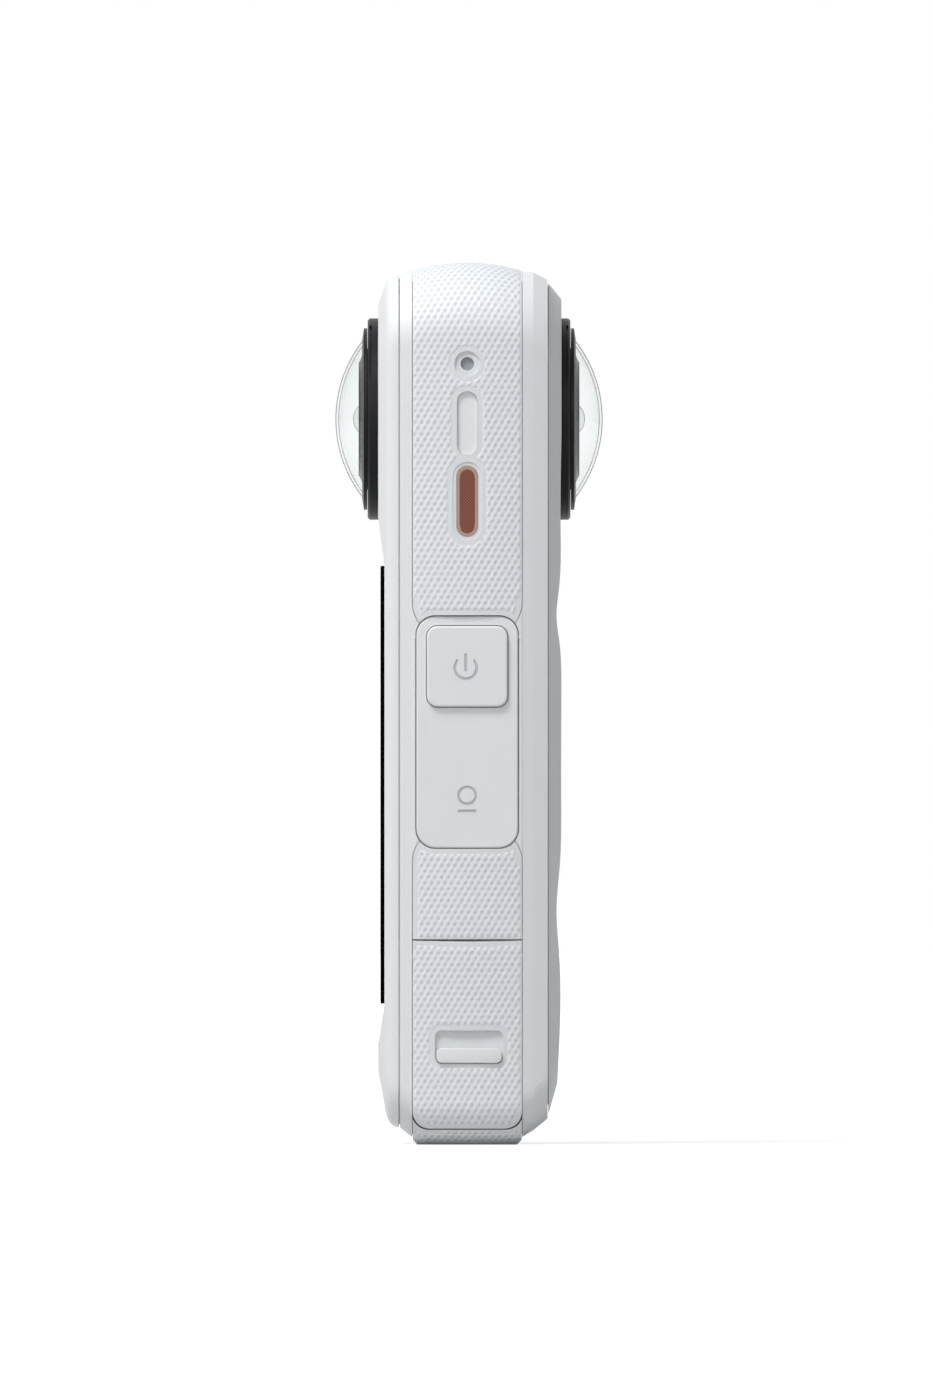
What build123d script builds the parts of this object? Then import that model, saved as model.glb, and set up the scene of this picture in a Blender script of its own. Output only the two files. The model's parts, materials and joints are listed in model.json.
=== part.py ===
from build123d import *
import math
import os

os.makedirs("parts", exist_ok=True)

# A pocket camera with a wide lens on its front and on its back.
# X runs across the body, Y from the screen side (low) to the grip side (high), Z upwards.
# The origin is on the table under the middle of the camera. Sizes are in millimetres.

# Overall body
half_width = 23.0
glass_low = 19.9
glass_height = 61.8
lens_rise = 20.8
top_over_lens = 21.95
foot_trim = 0.02
overrun = 3.0

glass_high = glass_low + glass_height
lens_height = glass_high + lens_rise
body_top = lens_height + top_over_lens

# General fits
bond_gap = 0.1
key_gap = 0.12
seam_gap = 0.16
running_gap = 0.03
lens_gap = 0.07
screw_gap = 0.05

# Side band: a textured strip that runs round the edge of the body, slightly crowned
band_front = 7.95
band_rear = 7.45
band_rise = 0.25
band_edge_fall = 0.45
band_top_fall = 1.15
band_thickness = 1.45
top_corner_radius = 10.0
foot_corner_radius = 6.0
foot_bevel = 0.7

crown_width = half_width - band_rise
edge_width = crown_width - band_edge_fall
edge_top = body_top - band_top_fall
core_width = edge_width - band_thickness
core_top = edge_top - band_thickness
core_low = band_thickness
band_middle = (band_rear - band_front) / 2

# Frame rims in front of and behind the band
shoulder_gap = 0.09
rim_inset = 0.1
rim_low = 1.05
front_rim_depth = 1.71
front_rim_low_rise = 1.35
front_rim_top_fall = 0.6
front_rim_side_fall = 0.2
rear_rim_depth = 3.56
rear_rim_low_rise = 2.6
rear_rim_top_fall = 1.2
rear_rim_side_fall = 0.9
rear_rim_shares = [(0.0, 0.0, 0.0), (0.44, 0.38, 0.13), (1.0, 1.0, 1.0)]
frame_wall = 1.2
foot_wall = 2.75

shoulder_front = -(band_front + shoulder_gap)
shoulder_rear = band_rear + shoulder_gap
frame_front = shoulder_front - front_rim_depth
frame_rear = shoulder_rear + rear_rim_depth
rim_width = edge_width - rim_inset
cavity_width = core_width - frame_wall
cavity_top = core_top - frame_wall - frame_wall / 2
cavity_low = core_low + foot_wall

# Front cover: a shallow shell that holds the screen, a lens and two round buttons
cover_groove = 0.2
cover_groove_depth = 0.4
front_cover_depth = 2.85
front_side_inset = 4.6
front_low_inset = 9.0
front_depth_shares = [0.0, 0.53, 0.75, 0.91, 1.0]
front_inset_shares = [0.0, 0.13, 0.43, 0.7, 1.0]
hollow_inset_share = 0.14
screen_fall = 0.87
cover_wall = 1.5
chin_drop = 5.4
brow_rise = 6.6
chin_fall = 0.05

cover_back = frame_front - cover_groove
front_cover_width = rim_width - front_rim_side_fall
front_cover_low = rim_low + front_rim_low_rise
front_cover_top = edge_top - front_rim_top_fall
front_face = front_cover_depth - cover_back
screen_face = front_face - screen_fall
chin_height = glass_low - chin_drop
brow_height = glass_high + brow_rise

# Rear cover: a shallow shell with a faceted edge and a gently waved back
rear_groove = 0.15
rear_groove_depth = 0.4
rear_swell = 0.25
rear_ledge = 0.5
rear_low_ledge = 0.7
rear_facet_side = 2.2
rear_facet_low = 6.3
rear_facet_top = 2.2
wave_dip = 0.7
wave_shares = [(-0.02, 1.0), (0.09, 0.65), (0.16, 0.2), (0.215, 0.45), (0.268, 1.0), (0.315, 0.35),
               (0.4, 0.05),
               (0.52, 0.0), (0.57, 0.4), (0.599, 1.0), (0.63, 0.5), (0.71, 0.2), (0.8, 0.02), (1.02, 0.0)]

rear_cover_back = frame_rear + rear_groove
rear_cover_width = rim_width - rear_rim_side_fall - rear_ledge
rear_cover_low = rim_low + rear_rim_low_rise + rear_low_ledge
rear_cover_top = edge_top - rear_rim_top_fall - rear_ledge
rear_face = front_face + rear_swell

# Screen
glass_side_margin = 3.5
glass_corner = 3.0
glass_proud = 0.57
glass_edge_radius = 0.15
glass_thickness = 0.8
gasket_thickness = 0.1
glass_ledge = 1.4
display_margin = 0.25
display_thickness = 1.4

# Lenses, the same on both sides
lens_seat_fall = 0.4
base_ring_wall = 3.2
base_ring_height = 1.93
base_ring_round = 0.3
bayonet_groove_depth = 0.95
bayonet_lip = 0.55
bayonet_groove_width = 0.9
lug_tip_gap = 0.15
lug_clearance = 0.08
lug_angle = 40.0
lug_count = 3
twist_angle = 30.0
skirt_radius = 10.0
skirt_wall = 0.7
lens_ring_step = 1.4
lens_ring_height = 0.54
lens_ring_rise = 0.23
lens_ring_slope = 1.55
dome_radius = 18.1
dome_height = 3.8
dome_wall = 0.4
barrel_radius = 7.6
barrel_bore = 5.2
barrel_low = 4.1
barrel_head_gap = 0.2
barrel_head_height = 1.2
barrel_flange_radius = 11.8
barrel_flange_thickness = 1.0
barrel_shoulder_step = 1.0
barrel_shoulder_rise = 0.4
barrel_rise = 0.5
front_element_radius = 1.9
element_bulge = 0.8
element_plate = 0.7
element_thickness = 1.1
element_spacing = 3.3
sensor_width = 9.6
sensor_thickness = 1.0
sensor_board_width = 17.0
sensor_board_thickness = 0.8
arc_slot_low = 25.0
arc_slot_high = 68.0
arc_slot_depth = 0.35
arc_slot_width = 0.3
arc_slot_fall = 0.43
seal_thickness = 0.5
seal_width = 0.9
lug_play_angle = 2.0

lens_seat = front_face - lens_seat_fall
base_ring_face = lens_seat + base_ring_height
base_ring_bore = skirt_radius + bond_gap
bayonet_groove_radius = base_ring_bore + bayonet_groove_depth
bayonet_groove_low = lens_seat + bayonet_lip
bayonet_groove_high = bayonet_groove_low + bayonet_groove_width
base_ring_radius = bayonet_groove_radius + base_ring_wall
lug_radius = bayonet_groove_radius - lug_tip_gap
skirt_bore = skirt_radius - skirt_wall
lens_ring_radius = base_ring_radius - lens_ring_step
lens_ring_face = base_ring_face + lens_ring_height
lens_ring_top = lens_ring_face + lens_ring_rise
lens_ring_top_radius = lens_ring_radius - lens_ring_slope
dome_apex = lens_ring_top + dome_height
barrel_head_radius = skirt_bore - barrel_head_gap
barrel_head_low = lens_ring_top - barrel_head_height
barrel_shoulder_radius = barrel_head_radius - barrel_shoulder_step
barrel_face = lens_ring_top + barrel_rise
front_element_apex = barrel_face + element_bulge
arc_slot_face = base_ring_face - arc_slot_fall
seal_bore = base_ring_bore - seal_width

# Keys on the right side
plate_width = 14.4
plate_drop = 27.9
plate_height = 32.7
plate_corner = 2.7
plate_face_fall = 0.6
plate_thickness = 0.85
plate_room = 1.35
land_margin = 2.0
band_end_radius = 4.6
band_tail = 2.7
key_width = 11.4
key_corner = 1.5
key_drop = 7.1
key_flange = 0.3
key_flange_thickness = 0.4
key_travel = 0.5
pivot_radius = 0.35
pivot_drop = 2.9
pivot_inset = 1.6
pivot_reach = 0.95
ear_width = 1.1
ear_height = 1.8
ear_depth = 0.65
stem_radius = 0.9
stem_to_wall = 1.0
key_edge_radius = 0.3
stem_hole_radius = 1.3
switch_height = 0.9
switch_body_height = 0.4
switch_width = 3.4
switch_board_thickness = 0.4
switch_board_width = 8.0
quick_stem_rise = 5.1
mark_depth = 0.15
mark_line = 0.4
power_mark_radius = 1.55
power_mark_gap = 2.2
power_mark_drop = 0.2
power_mark_shift = 0.2
power_stroke_drop = 0.5
power_stroke_rise = 2.0
quick_mark_radius = 1.2
quick_mark_rise = 7.4
quick_bar_length = 2.6

plate_high = lens_height - plate_drop
plate_low = plate_high - plate_height
key_height = plate_high - key_drop
quick_stem_height = plate_low + quick_stem_rise
quick_mark_height = plate_low + quick_mark_rise

# Small features in the upper band
mic_hole_rise = 7.7
mic_hole_radius = 0.95
mic_dish_radius = 1.8
mic_dish_depth = 0.3
pill_drop = 0.7
pill_width = 2.9
pill_length = 9.0
pill_sink = 0.4
mesh_drop = 11.7
mesh_width = 3.1
mesh_length = 10.1
mesh_sink = 0.12
mesh_thickness = 0.5
mesh_lip = 0.5
mesh_lip_depth = 0.12
sound_hole_radius = 0.4

mic_hole_height = lens_height + mic_hole_rise
pill_height = lens_height - pill_drop
mesh_height = lens_height - mesh_drop

# Doors with a hinge near their upper seam
hinge_radius = 0.35
hinge_below_seam = 2.2
hinge_inset = 1.5
pin_reach = 0.9
bed_gap = 0.1
door_block_depth = 2.85
toe_inset = 1.25
toe_gap = 0.2
door_corner = 2.4
lip_radius = 2.28
lip_room = 0.26
door_low = 2.3
door_high = 28.85
plug_inset = 2.2
plug_rise = 6.1
plug_drop = 6.25
plug_half = 6.4
plug_room_low = 0.5
plug_room_side = 0.3
door_seal_proud = 0.15
door_seal_width = 0.8
door_seal_depth = 0.4
latch_width = 9.2
latch_height = 2.1
latch_corner = 0.8
latch_rise = 9.25
latch_travel = 1.1
latch_finger_room = 1.4
latch_recess_depth = 0.6
latch_side_gap = 0.2
latch_neck_width = 3.0
latch_neck_height = 0.8
latch_plate_width = 4.6
latch_plate_lap = 0.5
latch_floor = 0.5
latch_plate_thickness = 0.6
usb_low = 45.0
usb_length = 19.0
usb_plug_rise = 1.2
usb_plug_drop = 5.7
usb_plug_half = 5.6
usb_latch_rise = 1.9

plug_low = door_low + plug_rise
plug_high = door_high - plug_drop
latch_low = door_low + latch_rise
usb_high = usb_low + usb_length
usb_plug_low = usb_low + usb_plug_rise
usb_plug_high = usb_high - usb_plug_drop
usb_latch_low = usb_low + usb_latch_rise
door_block = core_width - door_block_depth

# Battery bay
bay_drop = 1.0
bay_corner = 1.6
bay_rise = 2.6
bay_half_depth = 7.6
bay_wall = 0.7
battery_gap = 0.25
battery_end_gap = 0.6
contact_block_thickness = 2.0
contact_count = 4
contact_pitch = 2.6
contact_width = 1.2
shelf_rise = 4.0
shelf_thickness = 1.2

bay_low = plug_low - bay_drop
bay_high = plug_high + bay_rise
shelf_low = bay_high + shelf_rise

# Electronics
board_side_gap = 2.05
board_rise = 1.1
board_drop = 18.5
board_face = -2.6
board_thickness = 0.8
lug_size = 4.4
board_lug_depth = 3.0
board_screw_radius = 0.7
board_screw_length = 3.0
board_screw_head_radius = 1.3
board_screw_head_height = 0.8
shield_width = 24.0
shield_rise = 12.5
shield_length = 24.0
shield_height = 1.8
heat_plate_inset = 2.6
heat_plate_rise = 2.5
heat_plate_drop = 4.0
heat_plate_thickness = 0.8
card_socket_width = 14.0
card_socket_length = 15.0
card_socket_height = 1.5
usb_shell_width = 8.94
usb_shell_height = 3.26
usb_shell_length = 7.4
usb_shell_wall = 0.3
usb_plug_inset = 1.65
usb_tongue_height = 0.7
speaker_drop = 17.9
speaker_width = 9.0
speaker_depth = 3.2
mic_width = 2.6
mic_depth = 1.0
carrier_drop = 7.5
carrier_rise = 5.5
carrier_window = 12.0
carrier_gap = 0.1
contact_rise = 4.6
contact_pin_length = 0.6

board_half_width = cavity_width - board_side_gap
board_low = shelf_low + shelf_thickness + board_rise
board_high = lens_height - board_drop
shield_low = board_low + shield_rise
shield_high = shield_low + shield_length
heat_plate_half_width = board_half_width - heat_plate_inset
heat_plate_low = board_low + heat_plate_rise
heat_plate_high = board_high - heat_plate_drop
speaker_low = lens_height - speaker_drop
carrier_low = lens_height - carrier_drop
carrier_high = lens_height + carrier_rise
contact_low = bay_low + contact_rise

# Front buttons under the screen
front_button_radius = 4.8
front_button_drop = 8.9
front_button_inset = 7.9
front_button_flange = 0.7
front_flange_thickness = 0.5
front_board_side_gap = 3.15
front_board_half_height = 4.8
front_switch_height = 0.7
front_switch_radius = 1.6
front_lug_width = 3.6
front_board_thickness = 0.4

front_button_height = glass_low - front_button_drop
front_button_x = front_cover_width - front_side_inset - front_button_inset
front_board_half_width = cavity_width - front_board_side_gap
front_board_low = front_button_height - front_board_half_height
front_board_high = front_button_height + front_board_half_height

# Grip pad on the back
pad_side_margin = 2.4
pad_low = 18.0
pad_drop = 22.5
pad_corner = 4.0
pad_sink = 0.4

pad_half_width = rear_cover_width - rear_facet_side - pad_side_margin
pad_high = lens_height - pad_drop

# Fasteners and the tripod socket
cover_screw_radius = 0.8
cover_screw_head_radius = 1.5
cover_screw_head_height = 0.5
cover_screw_length = 3.2
cover_screw_inset = 2.8
cover_screw_margin = 6.0
cover_lug_size = 4.4
tripod_radius = 3.2
tripod_depth = 5.0
tripod_wall = 1.2
tripod_flange = 1.0
light_radius = 0.5
light_sink = 0.45
light_rise = 4.3
light_spacing = 3.0

cover_screw_x = pad_half_width - cover_screw_inset
cover_screw_low = pad_low + cover_screw_margin
cover_screw_high = pad_high - cover_screw_margin
tripod_insert_radius = tripod_radius + tripod_wall
tripod_flange_radius = tripod_insert_radius + tripod_flange
light_height = glass_high + light_rise


def facing(depth):
    """Upright plane across the body at one depth, seen from the screen side."""
    return Plane.XZ.offset(-depth)


def panel(plane, low_u, high_u, low_v, high_v, radius=0):
    """Rectangle between two corners of a plane, its corners rounded."""
    with BuildSketch(plane) as shape:
        with Locations(((low_u + high_u) / 2, (low_v + high_v) / 2)):
            if radius > 0:
                RectangleRounded(high_u - low_u, high_v - low_v, radius)
            else:
                Rectangle(high_u - low_u, high_v - low_v)
    return shape.sketch


def disc(plane, u, v, radius):
    """Full circle on a plane."""
    with BuildSketch(plane) as shape:
        with Locations((u, v)):
            Circle(radius)
    return shape.sketch


def pill(plane, u, v, width, length):
    """Slot shape that stands upright on a plane."""
    with BuildSketch(plane) as shape:
        with Locations((u, v)):
            SlotOverall(length, width, rotation=90)
    return shape.sketch


def outline(depth, width, low, top):
    """Outline of the body at one depth: large corners above, smaller ones below."""
    corners = [(-width, low), (width, low), (width, top), (-width, top)]
    radii = [foot_corner_radius, foot_corner_radius, top_corner_radius, top_corner_radius]
    with BuildSketch(facing(depth)) as shape:
        with BuildLine():
            FilletPolyline(*corners, radius=radii, close=True)
        make_face()
    return shape.sketch


def bar(low, high, mode=Mode.ADD):
    """Box between two opposite corners, inside the part that is open."""
    middle = [(a + b) / 2 for a, b in zip(low, high)]
    size = [b - a for a, b in zip(low, high)]
    with Locations(tuple(middle)):
        Box(*size, mode=mode)


def rod(plane, u, v, radius, length, mode=Mode.ADD):
    """Round bar that rises from a plane, inside the part that is open."""
    extrude(disc(plane, u, v, radius), amount=length, mode=mode)


def save(part, node):
    """Name a finished piece and write it."""
    part.label = node
    export_step(part, f"parts/{node}.step")


right = 1
left = -1

# The solid shape that band, doors and key surround are cut from, and the ring that follows the frame
with BuildPart() as crown:
    add(outline(-band_front, edge_width, -foot_trim, edge_top))
    add(outline(band_middle, crown_width, -foot_trim, body_top))
    add(outline(band_rear, edge_width, -foot_trim, edge_top))
    loft()
    # The foot is cut flat, so that the camera stands on a plane
    split(bisect_by=Plane.XY, keep=Keep.TOP)
    # Bevel along the two long edges of the foot
    with BuildSketch(Plane.YZ.offset(-half_width)):
        for edge, inward in ((-band_front, right), (band_rear, left)):
            with BuildLine():
                Polyline((edge - inward * overrun, foot_bevel), (edge, foot_bevel),
                         (edge + inward * foot_bevel, 0),
                         (edge + inward * foot_bevel, -overrun), (edge - inward * overrun, -overrun),
                         close=True)
            make_face()
    extrude(amount=2 * half_width, mode=Mode.SUBTRACT)


with BuildPart() as band_ring:
    add(crown.part)
    extrude(outline(band_rear + overrun, core_width, core_low, core_top),
            amount=band_front + band_rear + 2 * overrun, mode=Mode.SUBTRACT)


def side_region(low, high, grow=0, low_radius=0, high_radius=0):
    """Part of the side of the body between two heights, as wide as the band."""
    corners = [(-band_front - grow, low), (band_rear + grow, low),
               (band_rear + grow, high), (-band_front - grow, high)]
    radii = [low_radius, low_radius, high_radius, high_radius]
    with BuildSketch(Plane.YZ) as shape:
        with BuildLine():
            FilletPolyline(*corners, radius=radii, close=True)
        make_face()
    return shape.sketch


def side_prism(sketch, side, start, end=half_width + overrun):
    """Sketch on the side of the body, pushed out from one distance to another."""
    with BuildPart() as prism:
        extrude(sketch.moved(Location((side * start, 0, 0))), amount=side * (end - start))
    return prism.part


# Places that pieces share
cover_inner = front_face - cover_wall
flange_front = cover_inner - screw_gap
front_board_face = flange_front - front_flange_thickness - key_travel - screw_gap - front_switch_height
bay_end = door_block - bond_gap
pin_x = half_width - hinge_inset
plate_face = half_width - plate_face_fall
plate_back = plate_face - plate_thickness
plate_floor = plate_back - plate_room
switch_wall = plate_floor - frame_wall
plate_half = plate_width / 2
pivot_x = half_width - pivot_inset
pivot_z = plate_high - pivot_drop
land_low = plate_low - land_margin
land_high = plate_high + land_margin
upper_region = side_region(plate_high - band_tail, body_top + overrun, 0, band_end_radius)
upper_channel = side_region(plate_high - band_tail - shoulder_gap, body_top + overrun, shoulder_gap,
                            band_end_radius + shoulder_gap)
lower_region = side_region(door_high + seam_gap, plate_low + band_tail, 0, 0, band_end_radius)
lower_channel = side_region(0, plate_low + band_tail + shoulder_gap, shoulder_gap, 0,
                            band_end_radius + shoulder_gap)
plate_pocket = panel(Plane.YZ, band_middle - plate_half - key_gap, band_middle + plate_half + key_gap,
                     plate_low - key_gap, plate_high + key_gap, plate_corner + key_gap)
pin_lines = [(right, door_high - hinge_below_seam), (left, usb_high - hinge_below_seam)]
board_screw_places = [(side * (board_half_width - lug_size / 2), height)
                      for side in (left, right)
                      for height in (board_low + lug_size / 2, board_high - lug_size / 2)]
cover_screw_places = [(side * cover_screw_x, height)
                      for side in (left, right) for height in (cover_screw_low, cover_screw_high)]


def cross_rod(x, z, radius, low_y, high_y, mode=Mode.ADD):
    """Round bar along the depth of the body."""
    rod(facing(high_y), x, z, radius, high_y - low_y, mode)


with BuildPart() as key_land:
    add(crown.part)
    add(side_prism(side_region(land_low, land_high), right, plate_floor), mode=Mode.INTERSECT)

# Mid frame: the ring that everything is fastened to, with a channel for the band
with BuildPart() as mid_frame:
    add(outline(frame_front, rim_width - front_rim_side_fall, rim_low + front_rim_low_rise,
                edge_top - front_rim_top_fall))
    add(outline(shoulder_front, rim_width, rim_low, edge_top))
    loft(ruled=True)
    for depth_share, low_share, top_share in rear_rim_shares:
        add(outline(shoulder_rear + depth_share * rear_rim_depth, rim_width - low_share * rear_rim_side_fall,
                    rim_low + low_share * rear_rim_low_rise, edge_top - top_share * rear_rim_top_fall))
    loft(ruled=True)
    extrude(outline(frame_rear, rim_width - rear_rim_side_fall - rear_ledge / 2,
                    rim_low + rear_rim_low_rise + rear_ledge / 2,
                    edge_top - rear_rim_top_fall - rear_ledge / 2),
            amount=rear_rim_depth / 2)
    extrude(outline(rear_cover_back, rear_cover_width - rear_groove_depth, rear_cover_low + rear_groove_depth,
                    rear_cover_top - rear_groove_depth), amount=rear_groove + rear_rim_depth / 2)
    extrude(outline(frame_front, front_cover_width - cover_groove_depth, front_cover_low + cover_groove_depth,
                    front_cover_top - cover_groove_depth), amount=cover_groove)
    extrude(outline(shoulder_rear, core_width, core_low, core_top), amount=shoulder_rear - shoulder_front)
    extrude(outline(frame_rear + overrun, cavity_width, cavity_low, cavity_top),
            amount=frame_rear - frame_front + 2 * overrun, mode=Mode.SUBTRACT)
    # Shelf above the battery, walls behind the doors and the thick wall behind the keys
    bar((-cavity_width, shoulder_front, shelf_low), (cavity_width, shoulder_rear,
                                                     shelf_low + shelf_thickness))
    bar((door_block, shoulder_front, bay_low), (core_width, shoulder_rear, shelf_low + shelf_thickness))
    bar((-core_width, shoulder_front, usb_low), (-door_block, shoulder_rear, usb_high + frame_wall))
    bar((switch_wall, shoulder_front, land_low), (rim_width, shoulder_rear, land_high))
    add(key_land.part)
    # Boss round the tripod socket
    rod(Plane.XY.offset(core_low), 0, band_middle, tripod_insert_radius + frame_wall, tripod_depth)
    # Lugs for the main board, the rear cover and the board behind the front buttons
    for x, z in board_screw_places:
        reach = math.copysign(cavity_width, x)
        low_x, high_x = sorted((x - math.copysign(lug_size / 2, x), reach))
        bar((low_x, board_face + board_thickness, z - lug_size / 2),
            (high_x, board_face + board_thickness + board_lug_depth, z + lug_size / 2))
    for x, z in cover_screw_places:
        low_x, high_x = sorted((x - math.copysign(cover_lug_size / 2, x), math.copysign(cavity_width, x)))
        bar((low_x, frame_rear - cover_screw_length, z - cover_lug_size / 2),
            (high_x, frame_rear, z + cover_lug_size / 2))
    for side in (left, right):
        low_x, high_x = sorted((side * cavity_width, side * (cavity_width - front_lug_width)))
        bar((low_x, front_board_thickness - front_board_face, front_board_low),
            (high_x, shoulder_front, front_board_high))
    # Channels for the band on the right side, with their rounded ends round the keys
    add(side_prism(upper_channel, right, core_width), mode=Mode.SUBTRACT)
    add(side_prism(lower_channel, right, core_width), mode=Mode.SUBTRACT)
    # Pocket of the key plate, its hinge pins, and holes for the key stems
    add(side_prism(plate_pocket, right, plate_floor), mode=Mode.SUBTRACT)
    cross_rod(pivot_x, pivot_z, pivot_radius + running_gap, band_middle - plate_half - pivot_reach - bond_gap,
              band_middle + plate_half + pivot_reach + bond_gap, Mode.SUBTRACT)
    for height in (key_height, quick_stem_height):
        rod(Plane.YZ.offset(switch_wall - overrun), band_middle, height, stem_hole_radius,
            plate_floor - switch_wall + 2 * overrun, Mode.SUBTRACT)
    # Room for the lip of each door, and holes for the hinge pins
    for side, pin_z in pin_lines:
        cross_rod(side * pin_x, pin_z, lip_radius + lip_room, shoulder_front, shoulder_rear, Mode.SUBTRACT)
        cross_rod(side * pin_x, pin_z, hinge_radius + running_gap, shoulder_front - pin_reach - bond_gap,
                  shoulder_rear + pin_reach + bond_gap, Mode.SUBTRACT)
    # Openings of the battery bay and the plug
    add(side_prism(panel(Plane.YZ, -plug_half - plug_room_side, plug_half + plug_room_side,
                         plug_low - plug_room_low, plug_high + plug_room_side), right, door_block - overrun),
        mode=Mode.SUBTRACT)
    add(side_prism(panel(Plane.YZ, -usb_plug_half - plug_room_side, usb_plug_half + plug_room_side,
                         usb_plug_low - plug_room_low, usb_plug_high + plug_room_side), left,
                         door_block - overrun),
        mode=Mode.SUBTRACT)
    # Tripod socket, sound holes and the screw holes
    rod(Plane.XY.offset(-overrun), 0, band_middle, tripod_insert_radius, tripod_depth + 3 * overrun,
        Mode.SUBTRACT)
    for side, height in ((right, mic_hole_height), (right, mesh_height), (left, mesh_height)):
        rod(Plane.YZ.offset(side * core_width - overrun), band_middle, height, sound_hole_radius,
            2 * overrun, Mode.SUBTRACT)
    for x, z in board_screw_places:
        cross_rod(x, z, board_screw_radius + screw_gap, board_face,
                  board_face + board_screw_length + bond_gap,
                  Mode.SUBTRACT)
    for x, z in cover_screw_places:
        cross_rod(x, z, cover_screw_radius + screw_gap, frame_rear - cover_screw_length - overrun,
                  frame_rear + overrun, Mode.SUBTRACT)
save(mid_frame.part, "mid_frame")


# Front cover: domed at its edges, with a step down to the screen
def front_block(grow=0, deeper=0):
    """Domed block of the front cover, made smaller all round for its hollow."""
    depth = front_face + cover_back - deeper
    with BuildPart() as block:
        for depth_share, inset_share in zip(front_depth_shares, front_inset_shares):
            side_inset = inset_share * front_side_inset + grow
            low_inset = inset_share * front_low_inset + grow
            add(outline(cover_back - depth_share * depth, front_cover_width - side_inset,
                        front_cover_low + low_inset, front_cover_top - side_inset))
        loft()
    return block.part


def screen_step(depth):
    """Everything in front of the screen face: the step between the lens above and the chin below."""
    with BuildPart() as step:
        with BuildSketch(Plane.YZ.offset(-half_width)):
            with BuildLine():
                Polyline((-screen_face + depth, glass_low), (-screen_face + depth, glass_high),
                         (-front_face + depth, brow_height), (-front_face - 2 * overrun, brow_height),
                         (-front_face - 2 * overrun, chin_height),
                         (-front_face + chin_fall + depth, chin_height),
                         close=True)
            make_face()
        extrude(amount=2 * half_width)
    return step.part


glass_half = front_cover_width - glass_side_margin
glass_front = screen_face + glass_proud
glass_back = glass_front - glass_thickness
gasket_back = glass_back - gasket_thickness
front_button_places = [(side * front_button_x, front_button_height) for side in (left, right)]
light_places = [(side * light_spacing / 2, light_height) for side in (left, right)]
display_half = glass_half - glass_ledge
display_low = glass_low + glass_ledge
display_high = glass_high - glass_ledge


def glass_panel(plane, grow=0, radius=glass_corner):
    """Outline of the screen glass, grown or shrunk all round."""
    return panel(plane, -glass_half - grow, glass_half + grow, glass_low - grow, glass_high + grow,
                 radius + grow)


with BuildPart() as front_cover:
    add(front_block())
    add(screen_step(0), mode=Mode.SUBTRACT)
    extrude(outline(cover_back, front_cover_width - cover_wall - hollow_inset_share * front_side_inset,
                    front_cover_low + cover_wall + hollow_inset_share * front_low_inset,
                    front_cover_top - cover_wall - hollow_inset_share * front_side_inset),
            amount=cover_inner + cover_back, mode=Mode.SUBTRACT)
    # Tray under the screen glass, with a window for the display
    extrude(panel(facing(cover_back), -glass_half - cover_wall / 2, glass_half + cover_wall / 2,
                  glass_low - cover_wall / 2, glass_high + cover_wall / 2), amount=gasket_back + cover_back)
    extrude(glass_panel(facing(-gasket_back), bond_gap), amount=overrun, mode=Mode.SUBTRACT)
    extrude(panel(facing(cover_back + overrun), -display_half, display_half, display_low, display_high),
            amount=2 * overrun + cover_wall, mode=Mode.SUBTRACT)
    # Seat and hole of the lens
    rod(facing(-lens_seat), 0, lens_height, base_ring_radius + bond_gap, overrun, Mode.SUBTRACT)
    rod(facing(cover_back + overrun), 0, lens_height, base_ring_bore, 3 * overrun, Mode.SUBTRACT)
    # Holes of the buttons and of the two status lights
    for x, z in front_button_places:
        rod(facing(cover_back + overrun), x, z, front_button_radius + key_gap, 3 * overrun, Mode.SUBTRACT)
    for x, z in light_places:
        rod(facing(cover_back + overrun), x, z, light_radius, 3 * overrun, Mode.SUBTRACT)
save(front_cover.part, "front_cover")


# Rear cover and its grip pad share one waved back
def wave_tool():
    """Everything behind the waved back of the body."""
    points = [(rear_face - dip * wave_dip, place * body_top) for place, dip in wave_shares]
    with BuildPart() as tool:
        with BuildSketch(Plane.YZ.offset(-half_width)):
            with BuildLine():
                Spline(*points)
                Polyline(points[-1], (rear_face + overrun, points[-1][1]),
                         (rear_face + overrun, points[0][1]), points[0])
            make_face()
        extrude(amount=2 * half_width)
    return tool.part


with BuildPart() as rear_block:
    add(outline(rear_cover_back, rear_cover_width, rear_cover_low, rear_cover_top))
    add(outline(rear_face, rear_cover_width - rear_facet_side, rear_cover_low + rear_facet_low,
                rear_cover_top - rear_facet_top))
    loft(ruled=True)
    add(wave_tool(), mode=Mode.SUBTRACT)

pad_floor = rear_face - wave_dip - pad_sink
pad_prism = panel(facing(rear_face + overrun), -pad_half_width, pad_half_width, pad_low, pad_high, pad_corner)

with BuildPart() as rear_cover:
    add(rear_block.part)
    extrude(pad_prism, amount=rear_face + overrun - pad_floor, mode=Mode.SUBTRACT)
    extrude(disc(facing(rear_face + overrun), 0, lens_height, base_ring_radius + bond_gap),
            amount=rear_face + overrun - lens_seat, mode=Mode.SUBTRACT)
    cross_rod(0, lens_height, base_ring_bore, frame_rear - overrun, rear_face + overrun, Mode.SUBTRACT)
    cross_rod(0, lens_height, barrel_flange_radius + bond_gap, frame_rear - overrun, cover_inner,
              Mode.SUBTRACT)
    for x, z in cover_screw_places:
        cross_rod(x, z, cover_screw_head_radius + screw_gap, pad_floor - cover_screw_head_height, pad_floor,
                  Mode.SUBTRACT)
        cross_rod(x, z, cover_screw_radius + screw_gap, frame_rear - overrun, pad_floor, Mode.SUBTRACT)
save(rear_cover.part, "rear_cover")

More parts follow.
